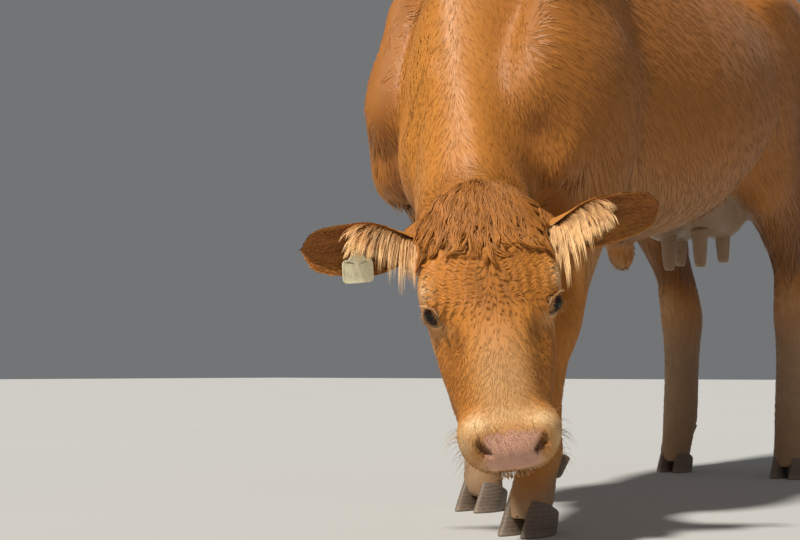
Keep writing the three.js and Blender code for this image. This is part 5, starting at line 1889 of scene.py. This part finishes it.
UPPER_LASHES, LOWER_LASHES, WHISKERS = 130, 34, 190


def make_lashes():
    """Lashes from both lids, and whiskers on muzzle and chin."""
    parts = []
    for side in (1, -1):
        axes = eye_axes(side)
        middle, gaze, duct, _ = axes
        random = np.random.default_rng(40 + side)
        above, below = random.uniform(0.12, 0.95, UPPER_LASHES), random.uniform(0.15, 0.85, LOWER_LASHES)
        t = np.concatenate([above, -below]) * math.pi
        a = eye_opening(t) + 0.06
        spoke, ray = eye_rays(axes, t, a)
        p = middle + ray * (EYE_RADIUS + 2.6)
        d = unit(gaze * 0.75 + spoke * 0.9 + duct * -0.35 + random.normal(0, 0.12, (len(t), 3)))
        long = np.where(t > 0, 15.0, 6.0) + 6 * random.random(len(t))
        parts.append((from_head(p), d @ HEAD_TURN.T, ray @ HEAD_TURN.T, long))
    p, d, n, long = (np.concatenate(part) for part in zip(*parts))
    roots = FreeRoots(43, p, n)
    lines = fall(p, d, long, 3, 0.35)
    wide = np.full(len(p), 0.5)
    cream = np.array(bpy.context.scene.cow_colours.cream, float)
    finish = finish_of(hair_finish, "short_hair")
    tuft_piece("lashes", roots, lines, wide, wide, (1.0, 0.8, 0.5), finish, cream, 0.6)

    def round_the_muzzle(p, n):
        z = to_head(p)[:, 2]
        return head_share(p) * smooth(-z, 390, 430) * (z > -462)

    sample = Roots(44, WHISKERS, round_the_muzzle)
    d = unit(sample.n + sample.random.normal(0, 0.25, sample.n.shape))
    lines = fall(sample.p, d, 22 + 26 * sample.chance[:, 2], 4, 0.6)
    wide = np.full(sample.count, 0.35)
    tuft_piece("whiskers", sample, lines, wide, wide, (1.0, 0.9, 0.7, 0.4), finish, cream, 0.7)


# The add-on.


def colour_of(name, value):
    """A colour that a user can change."""
    return bpy.props.FloatVectorProperty(
        name=name, description=name + ", linear", default=value, subtype="COLOR", min=0, max=1
    )


class CowColours(bpy.types.PropertyGroup):
    """The colours that markings() mixes."""

    golden: colour_of("Golden red of the coat", (0.52, 0.195, 0.03))
    # deep red of poll and trunk, also mixed in as painted shade on the neck, below the eyes, down the face
    # and on the hindquarters
    deep: colour_of("Deep red of poll and folds", (0.30, 0.098, 0.013))
    pale: colour_of("Belly and insides", (0.46, 0.24, 0.10))
    shin: colour_of("Lower legs", (0.3, 0.21, 0.13))
    cream: colour_of("Brows and muzzle", (0.82, 0.54, 0.27))
    rose: colour_of("Parting and bridge of the nose", (0.62, 0.3, 0.14))
    # the udder's colour is darkened partly as painted shade under the belly
    nose: colour_of("Bare muzzle", (0.64, 0.35, 0.24))
    udder: colour_of("Udder", (0.32, 0.21, 0.12))
    iris: colour_of("Iris", (0.05, 0.02, 0.01))
    horn: colour_of("Claws", (0.16, 0.115, 0.085))
    tag: colour_of("Ear tag", (0.85, 0.8, 0.55))


def length_of(name, value):
    """A length that a user can change, in metres."""
    return bpy.props.FloatProperty(name=name, description=name, default=value, min=0, unit="LENGTH")


class CowSizes(bpy.types.PropertyGroup):
    """Lengths of the hair, and the lamp and camera."""

    topknot: length_of("Length of the topknot's locks", 0.095)
    neck_hair: length_of("Length of the neck's hair", 0.044)
    body_hair: length_of("Length of the trunk's hair", 0.046)
    key_power: bpy.props.FloatProperty(
        name="Strength of the soft sun", description="Main light", default=4.2, min=0
    )
    camera_pitch: bpy.props.FloatProperty(
        name="Camera's tilt", description="Upwards", default=math.radians(5.3), subtype="ANGLE"
    )


def operator(work):
    """An operator class that runs one making function, with its name and docstring."""

    def execute(self, context):
        work()
        return {"FINISHED"}

    name = work.__name__.removeprefix("make_")
    label = name.replace("_", " ").capitalize()
    body = {"__doc__": work.__doc__, "bl_idname": "cow." + name, "bl_label": label, "execute": execute}
    return type("COW_OT_" + name, (bpy.types.Operator,), body)


PIECES = (make_skin, make_eyes, make_claws, make_tag, make_topknot, make_forehead, make_face, make_neck_hair)
PIECES += (make_body_hair, make_leg_hair, make_ear_hair, make_tail_hair, make_lashes, make_stage)
OPERATORS = [operator(work) for work in PIECES]


class COW_PT_panel(bpy.types.Panel):
    """Lists the cow's pieces, colours and sizes."""

    bl_label, bl_category = "Grazing cow", "Cow"
    bl_space_type, bl_region_type = "VIEW_3D", "UI"

    def draw(self, context):
        for one in OPERATORS:
            self.layout.operator(one.bl_idname)
        for group in (context.scene.cow_colours, context.scene.cow_sizes):
            for key in group.__annotations__:
                self.layout.prop(group, key)


CLASSES = [CowColours, CowSizes, *OPERATORS, COW_PT_panel]


def register():
    for one in CLASSES:
        bpy.utils.register_class(one)
    bpy.types.Scene.cow_colours = bpy.props.PointerProperty(type=CowColours)
    bpy.types.Scene.cow_sizes = bpy.props.PointerProperty(type=CowSizes)


def unregister():
    del bpy.types.Scene.cow_colours, bpy.types.Scene.cow_sizes
    for one in reversed(CLASSES):
        bpy.utils.unregister_class(one)


def main():
    """Makes every piece in order and writes the two boxes."""
    register()
    for one in OPERATORS:
        getattr(bpy.ops.cow, one.bl_idname.split(".")[1])()


if __name__ == "__main__":
    main()
